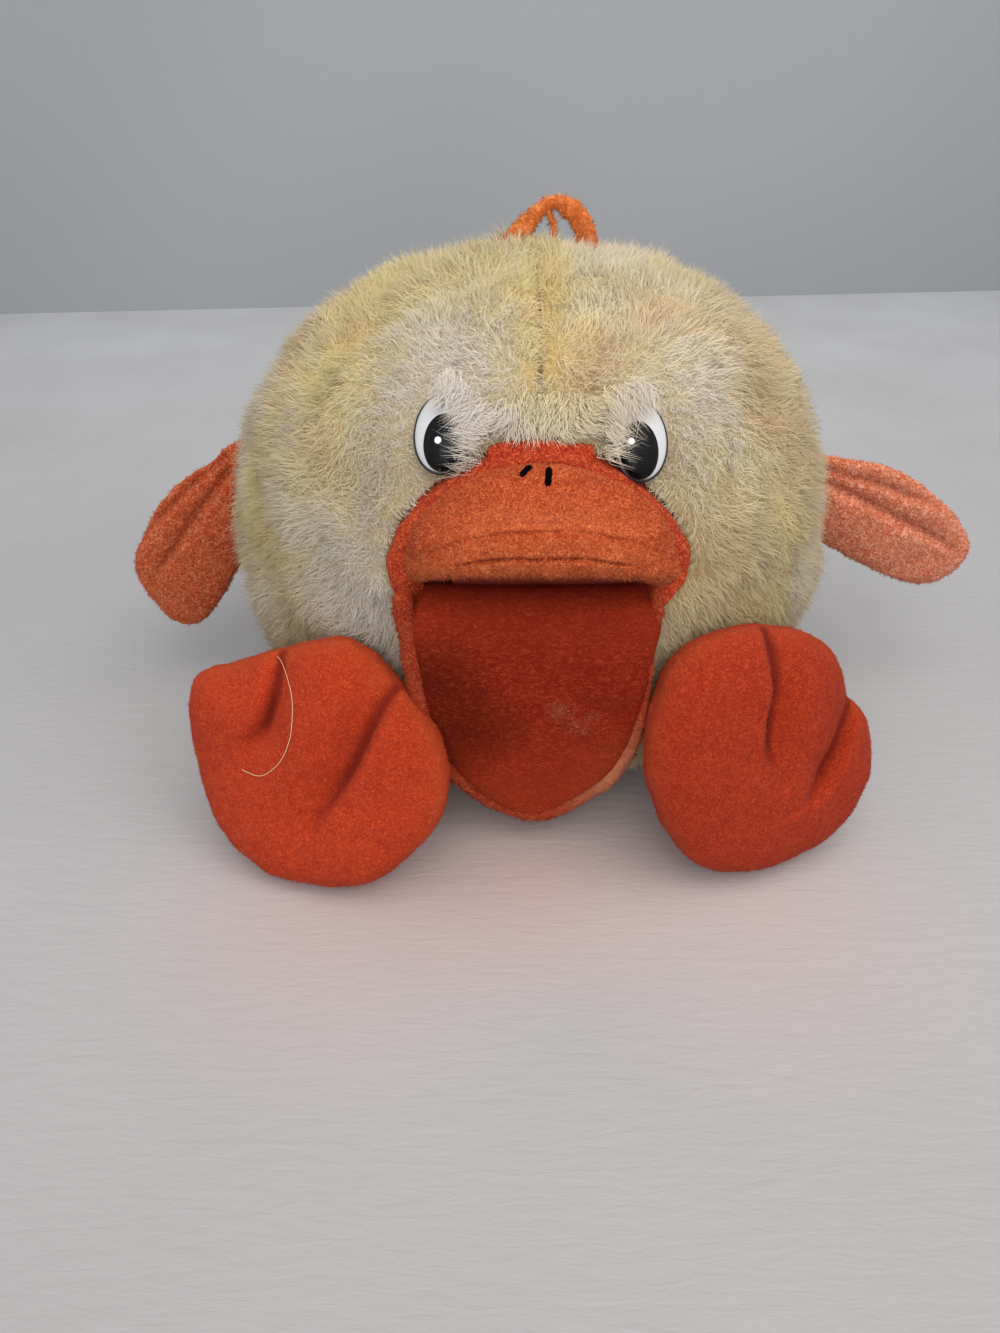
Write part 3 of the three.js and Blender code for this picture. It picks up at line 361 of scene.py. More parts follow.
def furPaint(name, pile):
    paint = Paint(name, Roughness=furLook["roughness"], Specular_IOR_Level=0.15)
    tones = {key: tone(*furLook[key]) for key in ("cream", "white", "yellow", "tan")}
    x = paint.axis("X")
    z = paint.axis("Z")
    patches = paint.noise(0.045, 3, 0.55, 0.4)
    colour = paint.mix(paint.between(patches, 0.42, 0.62), tones["cream"], tones["yellow"])
    worn = paint.noise(0.06, 2, 0.5, 0.2, paint.stretched((1, 1, 1), (0.31, 0.12, 0.2)))
    colour = paint.mix(paint.between(worn, 0.44, 0.62), colour, tones["tan"])
    for point, radius, key in furLook["spots"]:
        share = paint.near(point, radius, radius * 0.5) * 0.85
        colour = paint.mix(share, colour, tones[key])
    wander = paint.noise(0.02, 2, 0.5) * 0.006 - 0.003
    besideSeam = paint.between(
        paint.node("ShaderNodeMath", {"operation": "ABSOLUTE"}, {0: x + wander - 0.002}),
        0.003,
        0.013,
        1.0,
        0.0,
    )
    share = besideSeam * paint.between(z, 0.165, 0.185) * 0.8
    colour = paint.mix(share, colour, tones["yellow"])
    if pile:
        tint = paint.attribute("tint")
        along = paint.attribute("along")
        paler = paint.between(tint, 0.0, 1.0, 0.06, 0.0)
        colour = paint.mix(paler, colour, tone(*furLook["tips"]))
        # painted shade towards the roots of the fibres
        dark = paint.mix(1.0, colour, tone(*furLook["roots"]), "MULTIPLY")
        colour = paint.mix(paint.between(along, 0.0, 0.8), dark, colour)
        return paint.finish(colour)
    height = paint.noise(0.0012, 4, 0.7, 1.0)
    # painted shade: the backing darkened under the pile
    dark = paint.mix(1.0, colour, tone(*furLook["backing"]), "MULTIPLY")
    return paint.finish(dark, height=height, depth=0.001)


clothLook = {  # plain, deep and worn tones
    "velour": ((0.82, 0.34, 0.15), (0.63, 0.19, 0.06), (0.96, 0.57, 0.33)),
    "lip": ((0.82, 0.35, 0.16), (0.64, 0.20, 0.07), (0.94, 0.57, 0.34)),
    # painted shade: the duck's left sole is a darker copy of the same velour as its right
    "rightSole": ((0.79, 0.25, 0.10), (0.69, 0.18, 0.06), (0.87, 0.41, 0.20)),
    "leftSole": ((0.72, 0.22, 0.085), (0.62, 0.155, 0.05), (0.80, 0.36, 0.18)),
    "mouth": ((0.66, 0.215, 0.115), (0.52, 0.14, 0.07), (0.78, 0.36, 0.22)),
    "collar": ((0.78, 0.25, 0.10), (0.60, 0.13, 0.05), (0.90, 0.45, 0.24)),
    "leftWing": ((0.93, 0.56, 0.42), (0.80, 0.37, 0.22), (0.98, 0.80, 0.68)),
    "rightWing": ((0.85, 0.40, 0.22), (0.70, 0.24, 0.10), (0.94, 0.64, 0.45)),
    "rim": ((0.74, 0.27, 0.12), (0.60, 0.17, 0.07), (0.90, 0.66, 0.50)),
    "tape": ((0.96, 0.52, 0.20), (0.84, 0.36, 0.10), (0.98, 0.72, 0.46)),
}


def clothPaint(name, look, grain, edges=True, fibres=False, sheen=0.02, flecks=0.65, folds=0):
    paint = Paint(
        name,
        Specular_IOR_Level=0.2,
        Sheen_Weight=sheen,
        Sheen_Roughness=0.5,
    )
    plain, deep, worn = (tone(*colour) for colour in clothLook[look])
    nap = paint.noise(grain * 3.2, 3, 0.7, 1.8)
    fine = paint.noise(grain, 3, 0.7, 0.6)
    patch = paint.noise(0.03, 2, 0.5)
    colour = paint.mix(paint.between(nap, 0.44, 0.54), deep, plain)
    colour = paint.mix(paint.between(patch, 0.35, 0.7, 0.0, 0.25), colour, deep)
    colour = paint.mix(paint.between(nap, 0.52, 0.64, 0.0, flecks), colour, worn)
    if edges:
        colour = paint.mix(paint.attribute("wear") * paint.between(fine, 0.3, 0.7), colour, worn)
    # painted shade: darker in the bottoms of the folds, from the fold attribute
    if folds:
        shade = paint.mix(1.0, deep, tone(0.72, 0.58, 0.55), "MULTIPLY")
        depth = paint.between(paint.attribute("fold"), 0.1, 0.9, 0.0, folds)
        colour = paint.mix(depth, colour, shade)
    if fibres:
        tint = paint.attribute("tint")
        colour = paint.mix(paint.between(tint, 0.0, 0.5, 0.45, 0.0), colour, deep)
        colour = paint.mix(paint.between(tint, 0.6, 1.0, 0.0, flecks), colour, worn)
        return paint.finish(colour, 0.9)
    roughness = paint.between(fine, 0.2, 0.8, 0.8, 1.0)
    return paint.finish(colour, roughness, nap + fine * 0.5, grain * 2)


wovenLook = {
    "seat": (0.90, 0.86, 0.74),
    "lining": (0.89, 0.85, 0.72),
    "filling": (0.95, 0.94, 0.91),
}


def wovenPaint(name, look, thread):
    paint = Paint(name, Specular_IOR_Level=0.2, Sheen_Weight=0.1)
    across = paint.node(
        "ShaderNodeTexWave",
        {"bands_direction": "X"},
        {"Vector": paint.coordinates, "Scale": 0.16 / thread, "Distortion": 0.4, "Detail": 1.0},
    )
    along = paint.node(
        "ShaderNodeTexWave",
        {"bands_direction": "Z"},
        {"Vector": paint.coordinates, "Scale": 0.16 / thread, "Distortion": 0.4, "Detail": 1.0},
    )
    weave = across * 0.5 + along * 0.5
    base = tone(*wovenLook[look])
    soil = paint.between(paint.noise(0.04, 3, 0.6), 0.4, 0.75, 0.0, 0.4)
    colour = paint.mix(soil, base, tone(0.78, 0.71, 0.56))
    colour = paint.mix(paint.between(weave, 0.2, 0.8, 0.3, 0.0), colour, tone(0.7, 0.62, 0.46))
    return paint.finish(colour, 0.9, weave + paint.noise(thread, 2) * 0.5, thread * 0.5)


def plasticPaint(name, colour, roughness, coat=0.0, speck=0.05, grain=0.0015, shine=0.5):
    paint = Paint(name, Coat_Roughness=0.08, Coat_Weight=coat, Specular_IOR_Level=shine)
    mottle = paint.noise(grain * 4, 3, 0.6)
    base = tone(*colour)
    shade = paint.mix(paint.between(mottle, 0.3, 0.8, 0.0, speck), base, (0.3, 0.28, 0.24, 1))
    rough = paint.between(paint.noise(0.006, 3), 0.3, 0.7, roughness * 0.85, roughness * 1.25)
    return paint.finish(shade, rough, paint.noise(grain, 2), 0.00003, 0.5)


def metalPaint(name, colour, roughness):
    paint = Paint(name, Metallic=1.0)
    brushed = paint.noise(0.0004, 3, 0.6, 0, paint.stretched((1, 1, 14)))
    rough = paint.between(brushed, 0.3, 0.7, roughness * 0.7, roughness * 1.4)
    streak = paint.between(brushed, 0.4, 0.8, 0, 0.3)
    shade = paint.mix(streak, tone(*colour), (0.25, 0.25, 0.25, 1))
    return paint.finish(shade, rough, brushed, 0.00002, 0.5)


furBase = furPaint("furBacking", False)
furPile = furPaint("furPile", True)
velour = clothPaint("orangeVelour", "velour", 0.00045)
velourPile = clothPaint("orangeVelourPile", "velour", 0.0005, False, True)
lipVelour = clothPaint("lipVelour", "lip", 0.00045)
lipVelourPile = clothPaint("lipVelourPile", "lip", 0.0005, False, True)
soleVelour = {
    name: clothPaint(f"{name}SoleVelour", f"{name}Sole", 0.0004, flecks=0.35, folds=0.85)
    for name, side in sides
}
soleVelourPile = {
    name: clothPaint(f"{name}SolePile", f"{name}Sole", 0.0004, True, True, flecks=0.35, folds=0.85)
    for name, side in sides
}
mouthVelour = clothPaint("mouthVelour", "mouth", 0.0004)
collarVelour = clothPaint("collarVelour", "collar", 0.0005)
rimVelour = clothPaint("rimVelour", "rim", 0.00045, sheen=0, flecks=0.25)
rimVelourPile = clothPaint("rimVelourPile", "rim", 0.0005, True, True, 0, 0.2)
wingTerry = {
    name: clothPaint(f"{name}WingTerry", f"{name}Wing", 0.0007, folds=0.38) for name, side in sides
}
wingTerryPile = {
    name: clothPaint(f"{name}WingTerryPile", f"{name}Wing", 0.0006, False, True, folds=0.38)
    for name, side in sides
}
tape = clothPaint("loopTape", "tape", 0.0005)
tapePile = clothPaint("loopTapePile", "tape", 0.0005, False, True)
seatCloth = wovenPaint("seatCloth", "seat", 0.0006)
lining = wovenPaint("tunnelLining", "lining", 0.0005)
filling = wovenPaint("fillingFibre", "filling", 0.0009)
done("finishes made")


# Shared shapes
def smoothOutline(points, count):  # a closed curve through points, centripetal Catmull-Rom
    points = np.array(points, float)
    total = len(points)
    dense = []
    for i in range(total):
        p = [points[(i + k - 1) % total] for k in range(4)]
        t = [0.0]
        for a, b in zip(p, p[1:]):
            t.append(t[-1] + max(np.linalg.norm(b - a), 1e-9) ** 0.5)
        for step in range(24):
            u = t[1] + (t[2] - t[1]) * step / 24
            a = [
                ((t[k + 1] - u) * p[k] + (u - t[k]) * p[k + 1]) / (t[k + 1] - t[k])
                for k in range(3)
            ]
            b = [
                ((t[k + 2] - u) * a[k] + (u - t[k]) * a[k + 1]) / (t[k + 2] - t[k])
                for k in range(2)
            ]
            dense.append(((t[2] - u) * b[0] + (u - t[1]) * b[1]) / (t[2] - t[1]))
    return evenly(np.array(dense), count, True)


def evenly(points, count, closed=False):
    ring = np.vstack([points, points[:1]]) if closed else points
    reach = np.concatenate([[0], np.cumsum(np.linalg.norm(np.diff(ring, axis=0), axis=1))])
    wanted = np.linspace(0, reach[-1], count, endpoint=not closed)
    return np.stack([np.interp(wanted, reach, ring[:, k]) for k in range(ring.shape[1])], axis=1)


def rounded(points, rounds=3):  # an open path with its corners cut off
    points = np.array(points, float)
    for _ in range(rounds):
        near = points[:-1] * 0.75 + points[1:] * 0.25
        far = points[:-1] * 0.25 + points[1:] * 0.75
        cut = np.stack([near, far], axis=1).reshape(-1, points.shape[1])
        points = np.vstack([points[:1], cut, points[-1:]])
    return points


def crown(share, fullness=2.4):
    return np.sqrt(np.maximum(0, 1 - share**fullness))


def arch(share, power):
    return np.maximum(0, 1 - share**power) ** (1 / power)


def distanceToPath(places, path):  # signed distance to a path, and how far along it that is
    least = np.full(len(places), 1e9)
    along = np.zeros(len(places))
    path = np.array(path, float)
    lengths = np.linalg.norm(np.diff(path, axis=0), axis=1)
    before = np.concatenate([[0], np.cumsum(lengths)])
    for i, (start, end) in enumerate(zip(path, path[1:])):
        step = end - start
        share = np.clip(((places - start) @ step) / (step @ step), 0, 1)
        apart = np.linalg.norm(places - start - share[:, None] * step, axis=1)
        nearer = apart < np.abs(least)
        turned = step[0] * (places[:, 1] - start[1]) - step[1] * (places[:, 0] - start[0])
        least[nearer] = (apart * np.where(turned < 0, -1, 1))[nearer]
        along[nearer] = ((before[i] + share * lengths[i]) / before[-1])[nearer]
    return least, along


def foldDepth(flat, folds, soft, steep):  # folds: a path and the side of it that is steep
    depth = np.zeros(len(flat))
    for path, side in folds:
        apart, along = distanceToPath(flat / mm, rounded(path))
        reach = np.where(apart * side > 0, steep, soft)
        fade = np.clip((1 - along) / 0.3, 0, 1)
        line = 0.42 * np.exp(-((apart / reach) ** 2)) + 0.22 * np.exp(-((apart / 1.3) ** 2))
        depth = np.maximum(depth, line * (0.3 + 0.7 * fade))
    return depth


def foldShade(flat, folds):  # 1 in the bottom of a fold, where shade is painted
    shade = np.zeros(len(flat))
    for path, side in folds:
        apart, along = distanceToPath(flat / mm, rounded(path))
        reach = np.where(apart * side > 0, 1.3, 3.2)
        fade = np.clip((1 - along) / 0.3, 0, 1)
        shade = np.maximum(shade, np.exp(-((apart / reach) ** 2)) * (0.2 + 0.8 * fade))
    return shade


def sheetGrid(name, outline, middle, shares):  # rings drawn in from an outline to its middle
    # listed, because extruded edges give their faces another order in each run
    around = len(outline)
    rings = np.concatenate([[1], shares[:-1]])
    flat = (middle + rings[:, None, None] * (np.asarray(outline) - middle)).reshape(-1, 2)
    flat = np.vstack([flat, middle + shares[-1] * (np.mean(outline, axis=0) - middle)])
    last = len(flat) - 1
    faces = []
    for start in range(0, last, around):
        for here in range(around):
            a, b = start + here, start + (here + 1) % around
            inner = (last,) if start + around == last else (b + around, a + around)
            faces.append((a, b, *inner))
    obj = meshObject(name, np.column_stack([flat, np.zeros(len(flat))]), faces)
    return obj, np.repeat([*rings, 0], [around] * len(rings) + [1])


def padMesh(name, outline, middle, front, back, rings=14, softness=1):
    shares = np.linspace(1, 0, rings + 2)[1:-1] ** 0.75
    halves = []
    for sign, height in ((1, front), (-1, back)):
        obj, share = sheetGrid(name, outline, middle, shares)
        places = getPlaces(obj)
        places[:, 2] = sign * height(places[:, :2], share)
        setPlaces(obj, places)
        halves.append(obj)
    activate(halves[0])
    halves[1].select_set(True)
    bpy.ops.object.join()
    cleanUp(halves[0], 0.00002)
    applyModifier(halves[0], "SUBSURF", levels=softness, render_levels=softness)
    return halves[0]


def loftMesh(name, rings):  # a closed skin over rings of as many points each
    rings = np.array(rings)
    count, around = rings.shape[:2]
    faces = []
    for i in range(count - 1):
        for j in range(around):
            k = (j + 1) % around
            here, beyond = i * around, (i + 1) * around
            faces.append((here + j, here + k, beyond + k, beyond + j))
    faces.append(tuple(range(around - 1, -1, -1)))
    faces.append(tuple(range((count - 1) * around, count * around)))
    obj = meshObject(name, rings.reshape(-1, 3), faces)
    cleanUp(obj, 1e-7)
    return obj


def sweptMesh(name, path, radius, sides=24, upward=(0, 0, 1)):
    # a tube along a path: radius(along, turn) may vary, turn is 0 outward and rises to upward
    path = np.array(path, float)
    count = len(path)
    along = np.linspace(0, 1, count)
    heading = unit(np.gradient(path, axis=0))
    up = np.tile(np.array(upward, float), (count, 1))
    outward = unit(np.cross(heading, up))
    up = unit(np.cross(outward, heading))
    turns = np.arange(sides) / sides * 2 * math.pi
    rings = []
    for i in range(count):
        reach = radius(along[i], turns)
        ring = outward[i] * (reach * np.cos(turns))[:, None]
        rings.append(ring + up[i] * (reach * np.sin(turns))[:, None] + path[i])
    return loftMesh(name, rings)


# Fibres
def sampleRoots(obj, count, draw, accept):
    mesh = obj.data
    mesh.calc_loop_triangles()
    triangles = np.empty(len(mesh.loop_triangles) * 3, np.int32)
    mesh.loop_triangles.foreach_get("vertices", triangles)
    corners = getPlaces(obj)[triangles.reshape(-1, 3)]
    cross = np.cross(corners[:, 1] - corners[:, 0], corners[:, 2] - corners[:, 0])
    area = np.linalg.norm(cross, axis=1)
    outward = unit(cross)
    kept = accept(corners.mean(axis=1), outward)
    area = area * kept
    chosen = draw.choice(len(area), size=count, p=area / area.sum())
    a, b = draw.random(count), draw.random(count)
    over = a + b > 1
    a[over], b[over] = 1 - a[over], 1 - b[over]
    c = corners[chosen]
    roots = c[:, 0] + a[:, None] * (c[:, 1] - c[:, 0]) + b[:, None] * (c[:, 2] - c[:, 0])
    return roots, outward[chosen]


def clumped(roots, tips, gap, share, draw):  # tips lean towards their clump's own tip
    total = len(roots)
    centres = draw.choice(total, size=max(4, int(total / gap)), replace=False)
    tree = kdtree.KDTree(len(centres))
    for i, index in enumerate(centres):
        tree.insert(roots[index], i)
    tree.balance()
    owner = centres[[tree.find(p)[1] for p in roots]]
    return tips + share * (tips[owner] - tips)


fibreFaces = {  # a bent fibre has a ring halfway, a straight one has it at its root
    "bent": [[0, 2, 1], [0, 3, 2], [0, 1, 3], [4, 1, 2], [4, 2, 3], [4, 3, 1]],
    "straight": [[0, 2, 1], [3, 0, 1], [3, 1, 2], [3, 2, 0]],
}


def fibreMesh(name, roots, bends, tips, outward, look, draw):
    total = len(roots)
    bent = look["bent"]
    heading = unit(tips - roots)
    helper = unit(draw.normal(size=(total, 3)))
    first = unit(np.cross(heading, helper))
    second = np.cross(heading, first)
    radius = (look["width"] / 2 * draw.uniform(0.7, 1.3, total))[:, None]
    middle = bends if bent else roots
    angles = [2 * math.pi * k / 3 for k in range(3)]
    ring = [middle + radius * (math.cos(a) * first + math.sin(a) * second) for a in angles]
    places = np.stack([roots, *ring, tips] if bent else [*ring, tips], axis=1)
    each = places.shape[1]
    pattern = np.array(fibreFaces["bent" if bent else "straight"])
    faces = (np.arange(total) * each)[:, None, None] + pattern[None]
    mesh = bpy.data.meshes.new(name)
    mesh.vertices.add(total * each)
    mesh.vertices.foreach_set("co", places.astype(np.float32).ravel())
    mesh.loops.add(faces.size)
    mesh.loops.foreach_set("vertex_index", faces.astype(np.int32).ravel())
    mesh.polygons.add(faces.size // 3)
    mesh.polygons.foreach_set("loop_start", np.arange(faces.size // 3, dtype=np.int32) * 3)
    mesh.update(calc_edges=True)
    mesh.shade_smooth()
    # the pile takes light as one soft surface, so its normals lean to those of the cloth under it
    around = unit(places - middle[:, None, :]) * look["round"]
    around[:, -1] = 0
    normals = unit(outward[:, None, :] + around)
    mesh.normals_split_custom_set_from_vertices(normals.reshape(-1, 3).tolist())
    obj = bpy.data.objects.new(name, mesh)
    scene.collection.objects.link(obj)
    along = [0, 0.5, 0.5, 0.5, 1] if bent else [0, 0, 0, 1]
    setAttribute(obj, "along", np.tile(along, total))
    setAttribute(obj, "tint", np.repeat(draw.random(total), each))
    cell = math.ceil(math.sqrt(total))  # each fibre has its own cell of the baked picture
    corner = np.stack([np.arange(total) % cell, np.arange(total) // cell], axis=1) / cell
    rows = 2
    columns = len(pattern) // rows
    spread = []
    for k in range(len(pattern)):
        x, y = (k % columns) / columns, (k // columns) / rows
        for across, up in ((0.5, 0.94), (0.1, 0.06), (0.9, 0.06)):
            spread.append((x + across / columns, y + up / rows))
    layer = mesh.uv_layers.new(name="OFBake")
    flat = corner[:, None, :] + np.array(spread)[None] / cell
    layer.data.foreach_set("uv", flat.astype(np.float32).ravel())
    return obj


def plant(name, base, count, seed, look, comb, accept=None, shape=None):
    # comb(roots, outward) gives the way the pile lies, shape(roots) its share of the full length
    draw = np.random.default_rng(seed)
    accept = accept or (lambda centres, outward: np.ones(len(centres)))
    roots, outward = sampleRoots(base, count, draw, accept)
    if shape is not None:
        share = shape(roots)
        kept = share > 0.05
        roots, outward, share = roots[kept], outward[kept], share[kept]
    else:
        share = np.ones(len(roots))
    total = len(roots)
    flow = comb(roots, outward)
    flow = flow - (flow * outward).sum(axis=1, keepdims=True) * outward
    flow = unit(flow) * np.minimum(1, np.linalg.norm(flow, axis=1, keepdims=True))
    length = (look["length"] * share * draw.uniform(0.65, 1.2, total))[:, None]
    jitter = draw.normal(size=(total, 3)) * look["stray"]
    low = unit(outward + flow * look["lean"] + jitter)
    fallen = flow * (look["lean"] + look["droop"])
    high = unit(outward * (1 - look["droop"]) + fallen + jitter * 1.5)
    start = roots - outward * look["sink"]
    bends = roots + low * length * 0.5
    bends[:, 2] = np.maximum(bends[:, 2], 0.0004)
    tips = bends + high * length * 0.5
    tips = clumped(roots, tips, look["clumpSize"], look["clump"], draw)
    tips[:, 2] = np.maximum(tips[:, 2], 0.0002)  # nothing pokes through the table
    bends = bends + (tips - bends) * look["clump"] * 0.15
    return fibreMesh(name, start, bends, tips, outward, look, draw)


# Fur ball
ball = {
    "half": np.array((0.112, 0.092, 0.109)),
    "middle": np.array((0, 0, 0.097)),
    "squareness": 2.25,
    "voxel": 0.0026,
    "sink": 0.0018,  # how far the cloth backing lies in, under the pile
    "lump": 0.0024,
    "lumpSize": 0.024,
    "seamDip": 0.0003,
    "seamReach": 0.004,
    "sideGrowth": (0.0052, 0.0030),  # how much fuller the right and left sides are
    "crownSink": 0.0030,
    "inside": 0.8,  # below this level a face looks into the ball and has no pile
    "seamY": 0.022,  # of the side seams
}
pileLook = {
    "bent": True,
    "length": 0.0086,
    "width": 0.00022,
    "round": 0.06,
    "sink": 0.0006,
    "lean": 0.50,
    "droop": 0.35,
    "stray": 0.30,
    "clump": 0.13,
    "clumpSize": 16,
}
underLook = dict(
    pileLook, bent=False, length=0.0070, stray=0.5, clump=0.12, round=0.1, width=0.00026
)
fringeLook = dict(
    pileLook, length=0.0190, lean=0.12, droop=0.95, stray=0.22, clump=0.5, clumpSize=9
)
furCounts = {"front": 33000, "back": 20000, "under": 40000, "fringe": 3800}
eye = {
    "x": 31.4 * mm,
    "z": 166.5 * mm,
    "halfWidth": 8.7 * mm,
    "halfHeight": 12.3 * mm,
    "settled": {"left": -2.0 * mm, "right": 0},  # one eye sits lower, as in a toy that is used
}
brow = {
    "halfWidth": 17 * mm,
    "topZ": 167.0 * mm,
    "arch": 2.5 * mm,  # how much lower its top edge is at the ends
    "bulge": 2.6 * mm,
    "thickness": 1.6 * mm,
}


def ballLevel(places):
    return (np.abs((places - ball["middle"]) / ball["half"]) ** ball["squareness"]).sum(axis=1)


def ballOutward(places):
    apart = places - ball["middle"]
    power = ball["squareness"]
    return unit(np.sign(apart) * np.abs(apart) ** (power - 1) / ball["half"] ** power)


def ballFrontY(x, z):
    power = ball["squareness"]
    across = abs(x / ball["half"][0]) ** power
    up = abs((z - ball["middle"][2]) / ball["half"][2]) ** power
    return -ball["half"][1] * (1 - across - up) ** (1 / power)


def eyeFrame(side):
    x, z = eye["x"], eye["z"] + eye["settled"]["left" if side > 0 else "right"]
    step = 0.5 * mm
    surface = ballFrontY(x, z)
    slopeX = (ballFrontY(x + step, z) - surface) / step
    slopeZ = (ballFrontY(x, z + step) - surface) / step
    outward = Vector((side * slopeX, -1, slopeZ)).normalized()
    across = Vector((0, 0, 1)).cross(outward).normalized()
    upward = outward.cross(across)
    turned = Matrix((across, upward, outward)).transposed().to_4x4()
    return Matrix.Translation((side * x, surface, z)) @ turned


eyeFrames = {name: eyeFrame(side) for name, side in sides}


def eyeReach(places, side):  # 1 on the rim of the eye, less inside it
    local = np.array([tuple(eyeFrames[side].inverted() @ Vector(p)) for p in places])
    reach = np.hypot(local[:, 0] / eye["halfWidth"], local[:, 1] / eye["halfHeight"])
    return reach, local


def furComb(roots, outward):
    middle = roots - ball["middle"]
    flow = middle * np.array((7, 4, 2)) + np.array((0, 0, -0.45))
    swirl = noiseVectorAt(roots, 0.022, 3) * 1.1 + noiseVectorAt(roots, 0.007, 5) * 0.4
    overSeam = np.exp(-((roots[:, 0] / 0.004) ** 2)) * (roots[:, 2] > 0.15)
    flow[:, 0] -= np.sign(roots[:, 0]) * overSeam * 0.9
    besideMouth = np.clip((1.16 - mouthReach(roots)) / 0.1, 0, 1) * (roots[:, 1] < 0)
    besideMouth = besideMouth * np.clip((roots[:, 2] - 0.116) / 0.006, 0, 1)
    inward = unit(np.array((0, -0.1, 0.130)) - roots) * 1.6
    return (flow + swirl) * (1 - besideMouth)[:, None] + inward * besideMouth[:, None]


def furShape(roots):
    share = 0.95 + 0.22 * noiseAt(roots, 0.012, 9)
    for name, side in sides:
        reach, local = eyeReach(roots, name)
        near = local[:, 2] > -0.02
        share[(reach < 1.06) & near] = 0
        close = (reach >= 1.06) & (reach < 1.5) & near
        outer = local[:, 0] * side > 0.1 * eye["halfWidth"]
        share[close & outer] *= 0.5
        share[close & ~outer] *= 0.8
    front = roots[:, 1] < 0
    share[front & (mouthReach(roots) < 0.95)] = 0
    overBrow = front & (np.abs(roots[:, 0]) < brow["halfWidth"]) & (roots[:, 2] > 0.155)
    share[overBrow & (roots[:, 2] < brow["topZ"])] = 0
    share[overBrow & (roots[:, 2] < brow["topZ"] + 0.008)] *= 0.75
    share[roots[:, 2] < 0.005] = 0
    return share


mouth = {"halfWidth": 0.050, "widestZ": 0.126, "topZ": 0.165, "bottomZ": 0.110, "arch": 1.65}


def mouthReach(places):
    x = np.abs(places[:, 0]) / mouth["halfWidth"]
    rise = places[:, 2] - mouth["widestZ"]
    above = rise >= 0
    z = np.where(
        above,
        rise / (mouth["topZ"] - mouth["widestZ"]),
        -rise / (mouth["widestZ"] - mouth["bottomZ"]),
    )
    power = np.where(above, mouth["arch"], 2.8)
    return (x**power + z**power) ** (1 / power)


def closed(values, edge, reach):  # draws the rim of a panel up to the seam that it meets
    gap = np.abs(values - edge).min() - 0.05 * mm
    near = np.exp(-(((np.abs(values - edge) - gap) / reach) ** 2))
    return values - np.sign(values - edge) * gap * near


def furPanel(node, name, count, seed):
    skin = softCopy(node, name, ball["voxel"], 6)
    places = getPlaces(skin)
    outside = ballLevel(places) > 0.93
    outward = ballOutward(places)
    lumps = noiseAt(places, ball["lumpSize"], 1, 3) * ball["lump"]
    seamX = np.exp(-((places[:, 0] / ball["seamReach"]) ** 2)) * (places[:, 2] > 0.1)
    seamY = np.exp(-(((places[:, 1] - ball["seamY"]) / ball["seamReach"]) ** 2))
    growth = np.where(places[:, 0] < 0, *ball["sideGrowth"]) * np.abs(outward[:, 0]) ** 3
    growth -= ball["crownSink"] * np.maximum(0, outward[:, 2]) ** 4
    push = lumps + growth - ball["sink"] - (seamX + seamY) * ball["seamDip"]
    places = places + outward * (push * outside)[:, None]
    setPlaces(skin, places)
    applyModifier(skin, "SMOOTH", factor=0.5, iterations=2)
    places = getPlaces(skin)
    places[:, 0] = closed(places[:, 0], 0, ball["seamReach"])
    places[:, 1] = closed(places[:, 1], ball["seamY"], ball["seamReach"])
    setPlaces(skin, places)
    place(skin, "root", furBase, [node])

    def accept(centres, facing):
        facingOut = (facing * ballOutward(centres)).sum(axis=1) > 0.8
        return (ballLevel(centres) > ball["inside"]) & facingOut

    skin.data.update()
    pile = plant(name + "Pile", skin, count, seed, pileLook, furComb, accept, furShape)
    place(pile, "root", furPile, angle=None)
    if "front" in node:
        count = furCounts["under"]
        title = name + "Underfur"
        under = plant(title, skin, count, seed + 40, underLook, furComb, accept, furShape)
        place(under, "root", furPile, angle=None)
    return skin


def furFringe(skin, side, seed):
    # longer hairs from the inner and upper side of an eye, lying over it, and over the brow band
    name = "left" if side > 0 else "right"

    def accept(centres, facing):
        reach, local = eyeReach(centres, name)
        inner = local[:, 0] * side < 0.2 * eye["halfWidth"]
        inner = inner & (local[:, 1] > -0.9 * eye["halfHeight"])
        besideEye = (reach > 1.02) & (reach < 1.38) & inner & (local[:, 2] > -0.02)
        aboveBand = np.abs(centres[:, 2] - brow["topZ"] - 0.003) < 0.004
        overBand = (np.abs(centres[:, 0]) < 0.023) & aboveBand & (centres[:, 1] < 0)
        return (besideEye * 1.0 + overBand * 0.4) * (ballLevel(centres) > ball["inside"])

    def comb(roots, outward):
        middle = np.array(tuple(eyeFrames[name].translation))
        overEye = unit(middle - roots) * np.array((1.3, 1.0, 0.7)) + np.array((0, 0, -0.12))
        down = np.array((0, -0.4, -1.0))
        apart = np.linalg.norm(roots - middle, axis=1, keepdims=True)
        share = np.clip((0.024 - apart) / 0.006, 0, 1)
        return overEye * share + down * (1 - share) + noiseVectorAt(roots, 0.004, 15) * 0.55

    def shape(roots):  # only the hairs beside an eye are long
        reach, local = eyeReach(roots, name)
        return np.where(reach < 1.4, 1.0, 0.80) * (0.9 + 0.25 * noiseAt(roots, 0.004, 19))

    title = f"{name}EyeFringe"
    fringe = plant(title, skin, furCounts["fringe"], seed, fringeLook, comb, accept, shape)
    place(fringe, "root", furPile, angle=None)


for panel in ("front", "back"):
    for k, (name, side) in enumerate(sides):
        title = "fur" + panel.title() + name.title()
        skin = furPanel(f"fur_{panel}_{name}", title, furCounts[panel], 11 + k)
        if panel == "front":
            furFringe(skin, side, 21 + k)
done("fur made")

